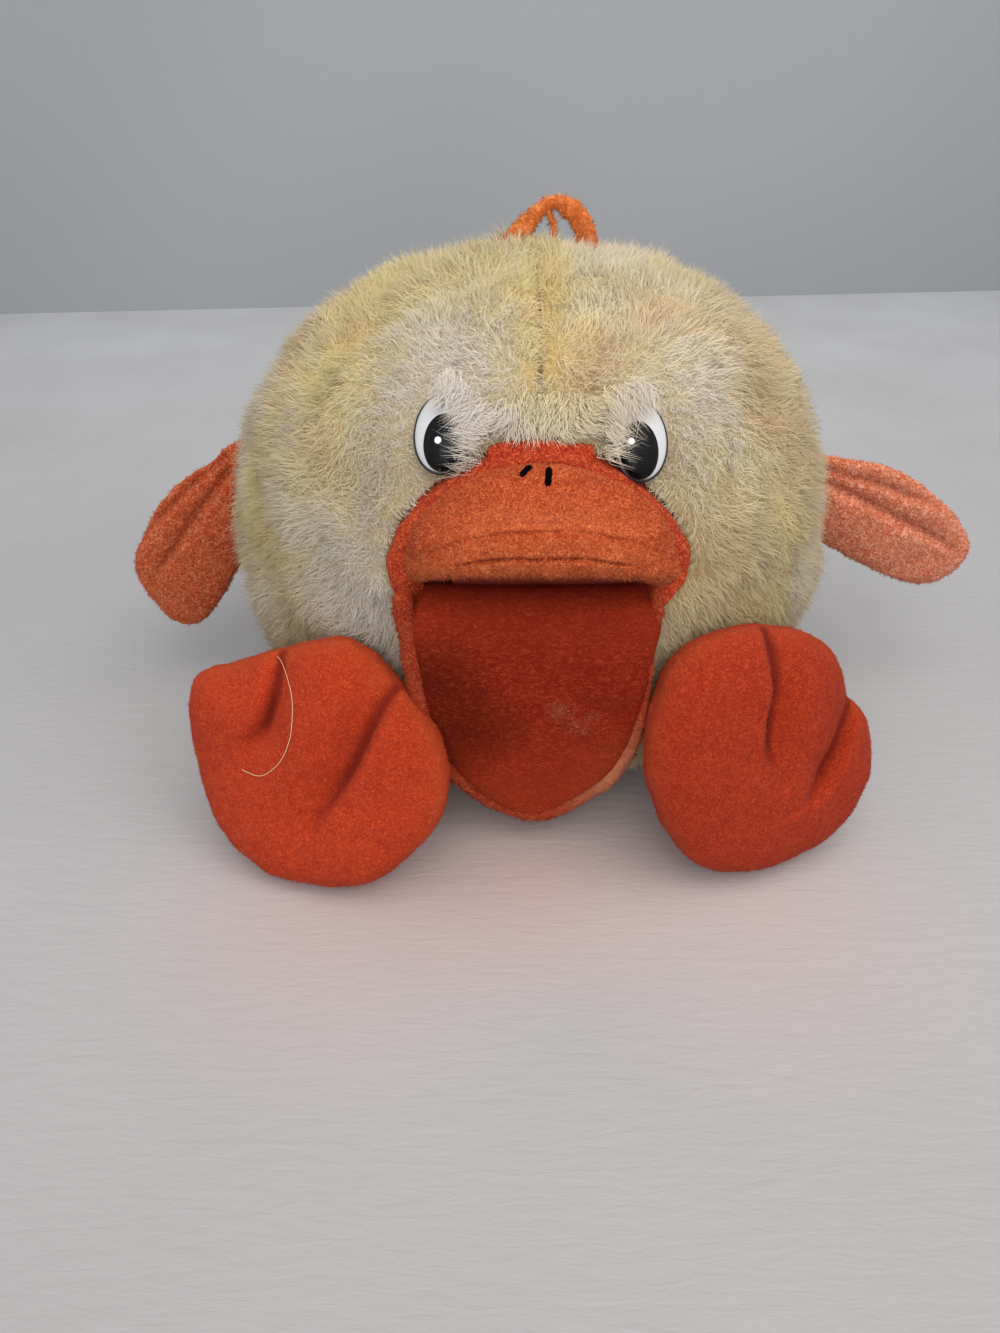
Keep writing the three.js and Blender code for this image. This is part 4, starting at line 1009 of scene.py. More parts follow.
stuffing = softCopy("body_fill", "bodyStuffing", 0.004, 3, 0.5)
place(stuffing, "root", filling, ["body_fill"])
seat = softCopy("seat_panel", "seatPanel", 0.0012, 2, 0.3)
place(seat, "root", seatCloth, ["seat_panel"])
for node, title, voxel in (
    ("hand_sleeve", "handSleeve", 0.0011),
    ("cuff_hem", "cuffHem", 0.0012),
    ("box_pouch", "boxPouch", 0.0009),
):
    cloth = softCopy(node, title, voxel, 3, 0.2)
    places = getPlaces(cloth)
    wrinkle = noiseAt(places * np.array((1, 0.5, 1)), 0.012, 4, 3) * 0.0003
    setPlaces(cloth, places + getNormals(cloth) * wrinkle[:, None])
    place(cloth, "root", lining, [node])
done("body lined")

# Eyes
eyeBlack = plasticPaint("eyeBlack", (0.02, 0.02, 0.025), 0.3, 0.1, 0.02)
eyeWhite = plasticPaint("eyeWhite", (0.78, 0.775, 0.775), 0.35, 0.1, 0.08)
eyeParts = {
    "baseMargin": 0.8 * mm,
    "baseLow": 0.4 * mm,
    "baseRise": 1.7 * mm,
    "baseEdge": 1.2 * mm,
    "whiteLow": 1.7 * mm,
    "whiteRise": 2.6 * mm,
    "pupilLow": 2.3 * mm,
    "pupilHalf": (6.7 * mm, 9.7 * mm),
    "pupilShift": 1.0 * mm,  # towards the bill
    "pupilDrop": 2.5 * mm,
    "pupilRise": 3.3 * mm,
    "glint": 1.1 * mm,
    "glintAt": {"left": (-3.1 * mm, 2.4 * mm), "right": (-1.0 * mm, -0.2 * mm)},
}


def eyeDome(name, half, low, rise, frameMatrix, shift=(0, 0), edge=0.3 * mm):
    clearSelection()
    bpy.ops.mesh.primitive_uv_sphere_add(segments=56, ring_count=28, radius=1)
    obj = bpy.context.object
    obj.name = obj.data.name = name
    bpy.ops.object.mode_set(mode="EDIT")
    bpy.ops.mesh.select_all(action="SELECT")
    bpy.ops.mesh.bisect(plane_co=(0, 0, 0), plane_no=(0, 0, -1), clear_outer=True, use_fill=True)
    bpy.ops.object.mode_set(mode="OBJECT")
    places = getPlaces(obj)
    flat = places[:, 2] < 1e-5
    height = edge + (rise - edge) * places[:, 2]
    height[flat & (np.hypot(places[:, 0], places[:, 1]) > 0.5)] = 0
    across = places[:, 0] * half[0] + shift[0]
    upward = places[:, 1] * half[1] + shift[1]
    setPlaces(obj, np.column_stack([across, upward, low + height]))
    applyModifier(obj, "BEVEL", width=0.15 * mm, segments=2, limit_method="ANGLE")
    obj.data.transform(frameMatrix)
    cleanUp(obj)
    return obj


def makeEye(name, side):
    turned = eyeFrames[name]
    parts = eyeParts
    half = (eye["halfWidth"], eye["halfHeight"])
    wide = (half[0] + parts["baseMargin"], half[1] + parts["baseMargin"])
    low, rise = parts["baseLow"], parts["baseRise"]
    base = eyeDome(f"{name}EyeBase", wide, low, rise, turned, edge=parts["baseEdge"])
    place(base, "root", eyeBlack, [f"{name}_eye_base"], angle=50)
    white = eyeDome(f"{name}EyeWhite", half, parts["whiteLow"], parts["whiteRise"], turned)
    place(white, "root", eyeWhite, [f"{name}_eye_white"], angle=50)
    shift = (-side * parts["pupilShift"], -parts["pupilDrop"])
    low, rise = parts["pupilLow"], parts["pupilRise"]
    pupil = eyeDome(f"{name}EyePupil", parts["pupilHalf"], low, rise, turned, shift)
    paint = Paint(f"{name}Pupil", Specular_IOR_Level=0.12, Coat_Weight=0.12, Coat_Roughness=0.1)
    aside, up = parts["glintAt"][name]
    wide, tall = parts["pupilHalf"]
    domed = math.sqrt(1 - (aside / wide) ** 2 - (up / tall) ** 2)
    spot = (shift[0] + aside, shift[1] + up, low + rise * domed)
    glint = paint.near(tuple(turned @ Vector(spot)), parts["glint"], 0.12 * mm)
    black = paint.mix(paint.noise(0.002, 2), (0.002, 0.002, 0.002, 1), (0.005, 0.005, 0.006, 1))
    colour = paint.mix(glint, black, tone(0.93, 0.93, 0.93))
    finish = paint.finish(colour, paint.between(paint.noise(0.004, 3), 0.3, 0.7, 0.30, 0.42))
    place(pupil, "root", finish, [f"{name}_eye_pupil"], angle=50)


for name, side in sides:
    makeEye(name, side)
done("eyes made")

# Mouth collar
def browBand():  # the collar's own cloth, turned up over the fur between the eyes
    across = np.linspace(-1, 1, 33)
    rows = np.linspace(0, 1, 9)
    places = []
    for row in rows:
        for share in across:
            x = share * (brow["halfWidth"] + 0.5 * mm)
            top = brow["topZ"] - 0.3 * mm - brow["arch"] * share**2
            low = mouth["topZ"] - 2.2 * mm - 4.5 * mm * share**2
            z = top + (low - top) * row
            bulge = brow["bulge"] * math.sin(math.pi * min(1, row * 1.25)) ** 0.8
            y = ballFrontY(x, z) + 0.8 * mm - bulge - 2.2 * mm * row
            places.append((x, y, z))
    faces = []
    for i in range(len(rows) - 1):
        for j in range(len(across) - 1):
            k = i * len(across) + j
            faces.append((k, k + len(across), k + len(across) + 1, k + 1))
    band = meshObject("browBand", places, faces)
    applyModifier(band, "SOLIDIFY", thickness=brow["thickness"], offset=-1)
    applyModifier(band, "SUBSURF", levels=1, render_levels=1)
    cleanUp(band)
    return band


collar = softCopy("mouth_collar", "mouthCollar", 0.0009, 5)
band = browBand()
activate(collar)
band.select_set(True)
bpy.ops.object.join()
applyModifier(collar, "REMESH", mode="VOXEL", voxel_size=0.0007)
applyModifier(collar, "SMOOTH", factor=0.5, iterations=4)
applyModifier(collar, "DECIMATE", ratio=0.5)
roughen(collar, 0.008, 6, 0.0007)
places = getPlaces(collar)
sunk = np.clip((0.127 - places[:, 2]) / 0.008, 0, 1)  # clear of the rim under the cheeks
sunk = sunk * np.clip((-0.072 - places[:, 1]) / 0.004, 0, 1)
places[:, 1] += 6 * mm * sunk
setPlaces(collar, places)
setAttribute(collar, "wear", np.clip(noiseAt(places, 0.01, 8), 0, 1) * 0.3)
place(collar, "root", collarVelour, ["mouth_collar"])

# Upper bill
bill = {
    "rootHalfWidth": 41.5 * mm,
    "frontHalfWidth": 37.5 * mm,
    "shoulderHalfWidth": 41.8 * mm,
    "rootY": -81 * mm,
    "browY": -84 * mm,
    "browLength": 6 * mm,
    "flareY": -89 * mm,
    "flareLength": 6 * mm,
    "rootArch": 1.6,
    "frontArch": 2.35,
    "frontY": -130 * mm,
    "topZ": 164.5 * mm,
    "rootZ": 161.1 * mm,
    "seamBackZ": 126 * mm,
    "climbY": -89.3 * mm,
    "climbRate": 0.872,
    "palateDepth": 6 * mm,
    "palateInset": 13 * mm,
    "cornerSag": 3.4 * mm,  # how far the seam sags towards the corners of the lip
    "frontRise": 2.2 * mm,
    "hairs": 22000,
}
lip = {
    "inset": 3 * mm,  # from the edge of the cover to the middle of the lip
    "endY": -97.0 * mm,
    "endHalf": (2.8 * mm, 3.4 * mm),  # outward and upward
    "endLift": 5.6 * mm,
    "endOut": 2.4 * mm,
    "leftSag": 1.8 * mm,
    "frontHalf": (5.2 * mm, 8.9 * mm),
    "swell": 3.4,  # how suddenly it grows tall towards the front
    "upturned": 0.42,  # share of the way to the front over which the ends turn up
    "ridge": 0.15,  # along the seam with the cover
    "ridgeTurn": 1.30,
    "crease": 0.34,
    "hairs": 12500,
    "ridgeHairs": 7000,
}


def billSeamZ(y):
    return bill["seamBackZ"] + bill["climbRate"] * np.maximum(0, bill["climbY"] - y)


def lipSeamZ(places):  # the seam as it is sewn: up a little in front, sagging at the corners
    x, y = np.abs(places[:, 0]), places[:, 1]
    share = np.clip((x - 8 * mm) / (30 * mm), 0, 1)
    sag = bill["frontRise"] - bill["cornerSag"] * share * share * (3 - 2 * share)
    return billSeamZ(y) + sag * np.clip((-0.090 - y) / 0.012, 0, 1)


def billCrestZ(y):
    left = np.maximum(0, 1 - (bill["browY"] - y) / bill["browLength"])
    return bill["topZ"] - (bill["topZ"] - bill["rootZ"]) * np.minimum(1, left**2)


def billOutline():
    root, front = bill["rootHalfWidth"], bill["frontHalfWidth"]
    half = [
        (root, bill["rootY"] + 34 * mm),
        (root, bill["rootY"] - 6 * mm),
        (bill["shoulderHalfWidth"], bill["rootY"] - 24 * mm),
        (front, bill["frontY"] + 16 * mm),
        (front * 0.72, bill["frontY"] + 6.5 * mm),
        (front * 0.36, bill["frontY"] + 1.5 * mm),
    ]
    return half + [(0, bill["frontY"])] + [(-x, y) for x, y in reversed(half)]


billMiddle = np.array((0, bill["rootY"] - 11 * mm))


def billTop(flat, share):
    y = flat[:, 1]
    flare = np.clip((bill["flareY"] - y) / bill["flareLength"], 0, 1)
    power = bill["rootArch"] + flare * (bill["frontArch"] - bill["rootArch"])
    return (billCrestZ(y) - billSeamZ(y)) * arch(share, power)


def cutBehind(obj, y):
    activate(obj)
    bpy.ops.object.mode_set(mode="EDIT")
    bpy.ops.mesh.select_all(action="SELECT")
    bpy.ops.mesh.bisect(plane_co=(0, y, 0), plane_no=(0, 1, 0), clear_outer=True, use_fill=True)
    bpy.ops.object.mode_set(mode="OBJECT")


def makeBill():
    outline = smoothOutline(billOutline(), 110)
    cover = padMesh(
        "billCover",
        outline,
        billMiddle,
        billTop,
        lambda flat, share: bill["palateDepth"] * 0.55 * crown(share),
        rings=18,
    )
    places = getPlaces(cover)
    places[:, 2] += lipSeamZ(places)
    dents = noiseAt(places, 0.016, 12, 3) * 0.0009
    top = places[:, 2] > lipSeamZ(places)
    places = places + getNormals(cover) * (dents * top)[:, None]
    setPlaces(cover, places)
    cutBehind(cover, bill["rootY"])
    places = getPlaces(cover)
    edge = np.exp(-(((places[:, 1] - bill["frontY"]) / 0.012) ** 2))
    setAttribute(cover, "wear", edge * 0.5)
    place(cover, "upper_bill", velour, ["bill_cover", "bill_pad"])

    def accept(centres, facing):
        return (facing[:, 2] > -0.1) & (centres[:, 1] < -0.083)

    fuzz = plant("billFuzz", cover, bill["hairs"], 31, shortPile, billComb, accept)
    place(fuzz, "upper_bill", velourPile, angle=None)

    ring = smoothOutline(billOutline(), 160)
    apart = ring - billMiddle
    reach = np.linalg.norm(apart, axis=1, keepdims=True)
    inset = billMiddle + apart * (reach - bill["palateInset"]) / reach
    palate = padMesh(
        "billPalate",
        inset,
        billMiddle,
        lambda flat, share: 0 * share - 3.4 * mm + 0.4 * mm * crown(share),
        lambda flat, share: 0 * share + 5.4 * mm + 0.6 * mm * crown(share),
        rings=8,
    )
    places = getPlaces(palate)
    places[:, 2] += billSeamZ(places[:, 1])
    setPlaces(palate, places)
    cutBehind(palate, bill["rootY"])
    setAttribute(palate, "wear", np.zeros(len(palate.data.vertices)))
    place(palate, "upper_bill", mouthVelour, ["bill_palate"])

    makeLip(billMiddle + apart * (reach - lip["inset"]) / reach)
    return cover


def makeLip(path):  # the roll under the front edge, tall in front and slim at its ends
    path = path[path[:, 1] < lip["endY"]]
    path = path[np.argsort(np.arctan2(path[:, 0], -(path[:, 1] - billMiddle[1])))]
    path = evenly(path, 130)
    forward = np.clip((lip["endY"] - path[:, 1]) / (lip["endY"] - bill["frontY"]), 0, 1)
    swell = [forward, forward ** lip["swell"]]
    half = [
        end + grow * (front - end)
        for end, front, grow in zip(lip["endHalf"], lip["frontHalf"], swell)
    ]
    points = np.column_stack([path, lipSeamZ(path) - 0.93 * half[1]])
    upturned = np.clip(1 - forward / lip["upturned"], 0, 1) ** 1.5
    points[:, 2] += lip["endLift"] * upturned
    points[:, 0] += np.sign(points[:, 0]) * lip["endOut"] * upturned
    points[:, 2] -= lip["leftSag"] * np.clip(points[:, 0] / bill["frontHalfWidth"], 0, 1) ** 2

    def reach(along, turns):
        k = round(along * (len(path) - 1))
        middle = 1 - abs(2 * along - 1)
        ends = math.sqrt(max(0.001, 1 - abs(2 * along - 1) ** 22))
        oval = (np.cos(turns) / half[0][k]) ** 2 + (np.sin(turns) / half[1][k]) ** 2
        ridge = lip["ridge"] * np.exp(-(((turns - lip["ridgeTurn"]) / 0.45) ** 2))
        smile = lip["crease"] * np.clip((middle - 0.30) / 0.35, 0, 1)
        lowered = 0.10 - 0.35 * np.clip((0.85 - middle) / 0.5, 0, 1)
        crease = smile * np.exp(-(((turns - lowered) / 0.15) ** 2))
        return ends * (1 + ridge - crease) / np.sqrt(oval)

    roll = sweptMesh("billLip", points, reach, 64)
    roughen(roll, 0.006, 14, 0.0004)
    setAttribute(roll, "wear", np.full(len(roll.data.vertices), 0.45))
    place(roll, "upper_bill", lipVelour, ["bill_lip"])
    fuzz = plant("lipFuzz", roll, lip["hairs"], 32, lipPile, lipComb)
    place(fuzz, "upper_bill", lipVelourPile, angle=None)
    ridge = plant("ridgeFuzz", roll, lip["ridgeHairs"], 34, ridgePile, ridgeComb, onTop)
    place(ridge, "upper_bill", lipVelourPile, angle=None)


shortPile = {
    "bent": False,
    "round": 0.9,
    "length": 0.0011,
    "width": 0.00030,
    "sink": 0.0002,
    "lean": 0.8,
    "droop": 0.2,
    "stray": 0.55,
    "clump": 0.25,
    "clumpSize": 8,
}
lipPile = dict(shortPile, length=0.0016, width=0.00030)
ridgePile = dict(shortPile, length=0.0026, width=0.00026, lean=0.5, stray=0.6)


def billComb(roots, outward):
    return np.array((0, -0.5, -0.3)) + noiseVectorAt(roots, 0.004, 7) * 1.2


def lipComb(roots, outward):  # brushed up
    return np.array((0, -0.1, 0.7)) + noiseVectorAt(roots, 0.004, 7) * 1.0


def ridgeComb(roots, outward):  # back, over the seam with the cover
    return np.array((0, 0.7, 0.5)) + noiseVectorAt(roots, 0.003, 8) * 0.9


def onTop(centres, facing):
    return facing[:, 2] > 0.45


def squared(value, power):  # a sine or cosine, drawn towards the corners of its curve
    return math.copysign(abs(value) ** (2 / power), value)


gusset = {
    "turns": (-0.17 * math.pi, 1.17 * math.pi),  # 0 at the duck's left, rising over the bill
    "steps": 104,
    "rows": 9,
    "lowPower": 3.2,
    "narrower": {"left": 0.12, "right": 0.02},  # under the corners of the mouth
    "depth": 3 * mm,
    "lowDepth": 6 * mm,
    "bulge": 2.8 * mm,
    "tuck": 2.5 * mm,  # of its outer edge, under the collar
    "thickness": 1.0 * mm,
}


def makeGusset():  # the fold of cloth between the collar and the root of the bill
    rows = gusset["rows"]
    places = []
    turns = np.linspace(*gusset["turns"], gusset["steps"])
    for turn in turns:
        c, s = math.cos(turn), math.sin(turn)
        rise = mouth["topZ"] - mouth["widestZ"]
        tall = rise if s > 0 else mouth["widestZ"] - mouth["bottomZ"]
        power = mouth["arch"] if s > 0 else gusset["lowPower"]
        shape = np.array((squared(c, power), squared(s, power)))
        low = min(1, max(0, -s) / 0.5)
        narrow = 1 - low * gusset["narrower"]["left" if c > 0 else "right"]
        outer = shape * ((mouth["halfWidth"] + 0.6 * mm) * narrow, tall - 1.0 * mm)
        inner = shape * (bill["rootHalfWidth"] - 1.5 * mm, tall - 4.9 * mm)
        front = ballFrontY(outer[0], mouth["widestZ"] + outer[1])
        front -= gusset["depth"] + gusset["lowDepth"] * low
        for k in range(rows):
            share = k / (rows - 1)
            x, z = outer + (inner - outer) * share
            bulge = gusset["bulge"] * math.sin(math.pi * share) - 1.0 * mm * share
            tuck = gusset["tuck"] * (max(0, 0.2 - share) / 0.2)
            places.append((x, front + tuck - bulge, mouth["widestZ"] + z))
    faces = []
    for i in range(len(turns) - 1):
        for k in range(rows - 1):
            n = i * rows + k
            faces.append((n, n + 1, n + rows + 1, n + rows))
    fold = meshObject("billGusset", places, faces)
    applyModifier(fold, "SOLIDIFY", thickness=gusset["thickness"], offset=-1)
    applyModifier(fold, "SUBSURF", levels=1, render_levels=1)
    cleanUp(fold)
    roughen(fold, 0.006, 61, 0.0005)
    setAttribute(fold, "wear", np.full(len(fold.data.vertices), 0.15))
    place(fold, None, collarVelour)
    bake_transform(fold)


billCover = makeBill()
makeGusset()

nostril = {"radius": 1.0 * mm, "lift": 0.35 * mm}


def heightOn(obj, path):  # of the top surface under each point of a path
    places = getPlaces(obj)
    places = places[getNormals(obj)[:, 2] > 0.2]
    found = []
    for x, y, z in path:
        near = np.argsort(np.hypot(places[:, 0] - x, places[:, 1] - y))[:4]
        found.append(places[near, 2].mean())
    return np.array(found)


def makeNostril(name, points):
    path = np.array([(x, y, 0) for x, y in points]) * mm
    path = evenly(path, 26)
    path[:, 2] = heightOn(billCover, path) + nostril["lift"]

    def reach(along, turns):
        ends = math.sqrt(max(0.02, 1 - abs(2 * along - 1) ** 5))
        return nostril["radius"] * ends * (1 + 0.10 * np.sin(3 * turns + along * 40))

    stitch = sweptMesh(name, path, reach, 18)
    thread = plasticPaint(name + "Thread", (0.012, 0.010, 0.010), 0.9, 0, 0.005, 0.0004, 0.03)
    node = ("left" if "left" in name else "right") + "_nostril_stitch"
    place(stitch, "upper_bill", thread, [node])


makeNostril("leftNostril", ((1.7, -97.0), (1.4, -101.8), (0.9, -107.6)))
makeNostril("rightNostril", ((-3.7, -94.6), (-5.2, -98.0), (-6.9, -102.8)))
done("upper bill made")

# Lower bill
jaw = {
    "topY": ballFrontY(0, 110 * mm) - 9 * mm,
    "topZ": 117 * mm,
    "length": 96.6 * mm,
    "half": [
        (36.5, 0), (36, 12), (34.8, 38), (32.3, 57), (28.2, 69.5), (22.4, 80), (15, 88.6),
        (6.6, 94.8),
    ],
    "thickness": 9 * mm,
    "tuck": 10 * mm,  # how far back its tip hangs
    "rimRadius": 3.4 * mm,
    "rimReach": 4.4 * mm,
    "liningReach": 3.6 * mm,
    "tipSeam": 2.8 * mm,  # how far the lining ends above the middle of the rim at the tip
    "leftReach": 3.2 * mm,  # how much wider the lining is at the duck's left
    "scuffs": (
        ((0.0082, -0.1020, 0.0775), 0.0042),
        ((0.0195, -0.1015, 0.0745), 0.0030),
        ((0.0145, -0.1005, 0.0695), 0.0040),
    ),
    "paintedShadows": (((-0.035, -0.103, 0.090), 0.013), ((-0.026, -0.101, 0.068), 0.014)),  # painted shadow from the duck's right foot on the lining
    "aside": 2.0 * mm,
    "rightGrowth": 0.06,  # how much wider it is at the duck's right
    "climb": ((-0.3, -0.4, 5.5), (-0.8, 0.8, 9), (-1.3, 2.0, 11.5)),  # of the rim's ends
    "tones": {
        "lower": (0.71, 0.26, 0.14),
        "upper": (0.66, 0.21, 0.12),
        # colour of the painted shadow on the lining
        "shade": (0.34, 0.08, 0.03),
        "scuff": (0.90, 0.64, 0.50),
    },
    "rimWear": 1.6,
    "rimHairs": 10500,
    "sill": {  # from the floor of the mouth to the front, as y and z
        "path": [
            (-77, 114), (-84, 117.5), (-90, 120.8), (-96, 122.2), (-100.6, 121), (-103.2, 117.8),
            (-104.2, 114), (-104.3, 106),
        ],
        "backHalf": 38,
        "thick": 2.2,
    },
}
jawMiddle = np.array((0, jaw["length"] / 2))


def jawOutline():
    half = [(x * mm, y * mm) for x, y in jaw["half"]]
    tip = (0, jaw["length"])
    ring = smoothOutline(half + [tip] + [(-x, y) for x, y in reversed(half)], 120)
    ring[:, 1] = np.maximum(0, ring[:, 1])
    return ring


def jawShift(z):  # it hangs a little towards the duck's right
    return -jaw["aside"] * np.clip((z - 0.02) / 0.08, 0, 1)


def jawDrape(down):  # how far it hangs back, under the belly
    return jaw["tuck"] * np.clip(down / jaw["length"], 0, 1) ** 1.8


def hang(obj):  # from flat to hanging: y runs down, and the height is towards the front
    places = getPlaces(obj)
    down = places[:, 1]
    y = jaw["topY"] - places[:, 2] + jawDrape(down)
    z = jaw["topZ"] - down
    setPlaces(obj, np.column_stack([places[:, 0] + jawShift(z), y, z]))
    cleanUp(obj, 1e-7)


def grown(ring, reach):  # the outline moved outwards, except along its top
    apart = ring - jawMiddle
    long = np.linalg.norm(apart, axis=1, keepdims=True)
    moved = jawMiddle + apart * (long + reach) / long
    moved[:, 1] = np.where(ring[:, 1] < 1 * mm, ring[:, 1], np.maximum(0, moved[:, 1]))
    return moved


def makeJaw():
    ring = jawOutline()
    half = jaw["thickness"] / 2
    makeLining(ring)
    cover = padMesh(
        "jawCover",
        ring,
        jawMiddle,
        lambda f, s: (half - 2.8 * mm) * crown(s, 8) + 0 * s,
        lambda f, s: half * crown(s, 6),
        12,
    )
    hang(cover)
    places = getPlaces(cover)
    places[:, 1] += 3 * mm * np.clip((places[:, 2] - 108 * mm) / (4 * mm), 0, 1)
    setPlaces(cover, places)
    setAttribute(cover, "wear", np.zeros(len(cover.data.vertices)))
    place(cover, "lower_bill", velour, ["jaw_cover", "jaw_foam"])
    makeJawRim(ring)


def makeLining(ring):  # from the floor of the mouth over its sill and down to the tip
    sill = jaw["sill"]
    edge = grown(ring, jaw["liningReach"])
    edge = edge[edge[:, 0] >= 0]
    edge[:, 1] -= jaw["tipSeam"] * np.clip((edge[:, 1] / mm - 60) / 35, 0, 1)
    edge = edge[np.argsort(edge[:, 1])]
    longest = edge[:, 1].max()
    down = longest * np.sin(np.linspace(0.05, 1, 64) * math.pi / 2) - 0.1 * mm
    face = jaw["topY"] - jaw["thickness"] / 2 + 0.6 * mm
    hanging = np.column_stack([face + jawDrape(down), jaw["topZ"] - down])
    bent = evenly(np.array(sill["path"]) * mm, 24)
    bent = bent[bent[:, 1] > hanging[0, 1] + 1 * mm]
    side = np.vstack([bent, hanging])
    wide = np.interp(down, edge[:, 1], edge[:, 0], right=0)
    shares = np.linspace(0, 1, len(bent))
    backwards = sill["backHalf"] * mm + (wide[0] - sill["backHalf"] * mm) * shares**0.6
    wide = np.maximum(np.concatenate([backwards, wide]), 0.4 * mm)
    heading = unit(np.gradient(side, axis=0))
    across = np.linspace(-1, 1, 57)
    shape = 1.2 * mm * (1 - across**4) - 2.4 * mm * np.abs(across) ** 22
    rings = []
    for i, (y, z) in enumerate(side):
        x = across * wide[i] + jawShift(z) * (1 if i >= len(bent) else shares[i])
        high = np.clip((z - 0.07) / 0.04, 0, 1)
        x = np.where(x < 0, x * (1 + jaw["rightGrowth"] * high), x)
        x = x + jaw["leftReach"] * high * np.clip(across, 0, 1) ** 3
        up = np.array((heading[i][1], -heading[i][0]))
        low = np.minimum(shape - 0.3 * mm, -sill["thick"] * mm)
        upper = np.column_stack([x, y + up[0] * shape, z + up[1] * shape])
        lower = np.column_stack([x, y + up[0] * low, z + up[1] * low])[::-1]
        rings.append(np.vstack([upper, lower]))
    lining = loftMesh("jawLining", rings)
    roughen(lining, 0.022, 21, 0.7 * mm, 2)
    setAttribute(lining, "wear", jawWear(getPlaces(lining)))
    place(lining, None, jawPaint(), ["jaw_lining"])
    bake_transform(lining)


def makeJawRim(ring):
    path = grown(ring, jaw["rimReach"])
    path = path[ring[:, 1] > 3 * mm]
    path = path[np.argsort(np.arctan2(path[:, 0], path[:, 1] - jawMiddle[1]))]
    down = path[:, 1]
    z = jaw["topZ"] - down
    points = np.column_stack([path[:, 0] + jawShift(z), jaw["topY"] + jawDrape(down), z])
    if points[0, 0] > 0:
        points = points[::-1]
    ends = []
    for end, sign in ((points[0], -1), (points[-1], 1)):
        climb = np.array(jaw["climb"]) * mm
        ends.append(end + climb * (sign, 1, 1))
    points = np.vstack([ends[0][::-1], points, ends[1]])
    points[:, 0] = np.where(
        points[:, 0] < 0,
        points[:, 0] * (1 + jaw["rightGrowth"] * np.clip((points[:, 2] - 0.07) / 0.04, 0, 1)),
        points[:, 0],
    )
    points = evenly(points, 170)

    def rimReach(along, turns):
        ends = math.sqrt(max(0.004, 1 - abs(2 * along - 1) ** 30))
        slimmer = 1 - 0.45 * np.clip((along - 0.68) / 0.14, 0, 1)  # at the duck's upper left
        return jaw["rimRadius"] * ends * slimmer * (1 + 0.05 * np.sin(along * 60) + 0 * turns)

    rim = sweptMesh("jawRim", points, rimReach, 22, (0, 1, 0))
    roughen(rim, 0.006, 24, 0.0004)
    setAttribute(rim, "wear", jawWear(getPlaces(rim)) * jaw["rimWear"])
    place(rim, "lower_bill", rimVelour, ["jaw_rim"])
    fuzz = plant("rimFuzz", rim, jaw["rimHairs"], 33, lipPile, billComb)
    setAttribute(fuzz, "wear", jawWear(getPlaces(fuzz)) * jaw["rimWear"])
    place(fuzz, "lower_bill", rimVelourPile, angle=None)


def jawWear(places):  # rubbed low at the duck's left
    side = np.clip((places[:, 0] - 0.008) / 0.02, 0, 1)
    low = np.clip((0.075 - places[:, 2]) / 0.03, 0, 1)
    return side * low * 0.5


def jawPaint():
    paint = Paint("jawLiningVelour", Specular_IOR_Level=0.05)
    plain, deep, worn = (tone(*colour) for colour in clothLook["mouth"])
    tones = {key: tone(*colour) for key, colour in jaw["tones"].items()}
    brushed = paint.noise(0.0011, 3, 0.7, 1.2, paint.stretched((0.6, 1, 1)))
    fine = paint.noise(0.00045, 3, 0.7, 0.5)
    patch = paint.noise(0.022, 2, 0.5)
    colour = paint.mix(paint.between(brushed, 0.43, 0.57), deep, plain)
    colour = paint.mix(paint.between(patch, 0.4, 0.65, 0.0, 0.4), colour, deep)
    z = paint.axis("Z")
    lower = paint.between(z, 0.015, 0.07, 0.55, 0.0)
    colour = paint.mix(lower, colour, tones["lower"])
    upper = paint.between(z, 0.095, 0.115, 0.0, 0.4)
    colour = paint.mix(upper, colour, tones["upper"])
    # painted shadow: the lining darkened where the duck's right foot shades it
    for point, radius in jaw["paintedShadows"]:
        shade = paint.near(point, radius, radius * 0.9) * 0.75
        colour = paint.mix(shade, colour, tones["shade"])
    colour = paint.mix(paint.between(brushed, 0.56, 0.70, 0.0, 0.35), colour, worn)
    colour = paint.mix(paint.attribute("wear") * paint.between(fine, 0.4, 0.7), colour, worn)
    scuffs = paint.between(paint.noise(0.0009, 4, 0.7, 2.5), 0.56, 0.60)
    for point, radius in jaw["scuffs"]:
        spot = paint.near(point, radius, radius * 0.6) * scuffs
        colour = paint.mix(spot * 0.8, colour, tones["scuff"])
    return paint.finish(colour, 0.95, brushed + fine * 0.5, 0.0010)


makeJaw()
done("lower bill made")

# Wings
wings = {
    "left": {
        "outline": [
            (0, 117), (14, 116.5), (38, 112), (55, 105), (64, 98), (71, 92), (78.5, 85), (84, 78),
            (87, 70.5), (84, 61), (77, 54), (66, 52.5), (52, 57), (36, 65), (22, 72.5), (9, 80),
            (0, 86),
        ],
        "folds": [
            ([(12, 111), (24.4, 107.3), (37.7, 104.3), (58.7, 95.7), (73.1, 92)], -1),
            ([(12, 106), (27.1, 99.4), (42.9, 91.4), (58.8, 83.8), (84.7, 68.1)], -1),
        ],
    },
    "right": {
        "outline": [
            (0, 127), (9, 124), (17, 120), (24, 113.5), (31, 109), (41, 102.5), (51, 92),
            (59.5, 80), (66.5, 66), (68, 56), (63, 42), (56, 31.5), (49, 29), (42, 31.5), (34, 40),
            (24, 54), (14, 69), (0, 88),
        ],
        "folds": [
            ([(16, 117), (30.9, 105.3), (48, 90), (64.5, 73.4)], -1),
            ([(16, 110), (30.6, 93.2), (50.2, 68.3), (63.5, 50.3)], -1),
        ],
    },
    "rootX": 110.44 * mm,
    "rootY": ball["seamY"],
    "half": 7 * mm,
    "hairs": 17000,
}
terryPile = {
    "bent": False,
    "round": 1.0,
    "length": 0.0017,
    "width": 0.00034,
    "sink": 0.0002,
    "lean": 0.6,
    "droop": 0.5,
    "stray": 0.7,
    "clump": 0.35,
    "clumpSize": 8,
}


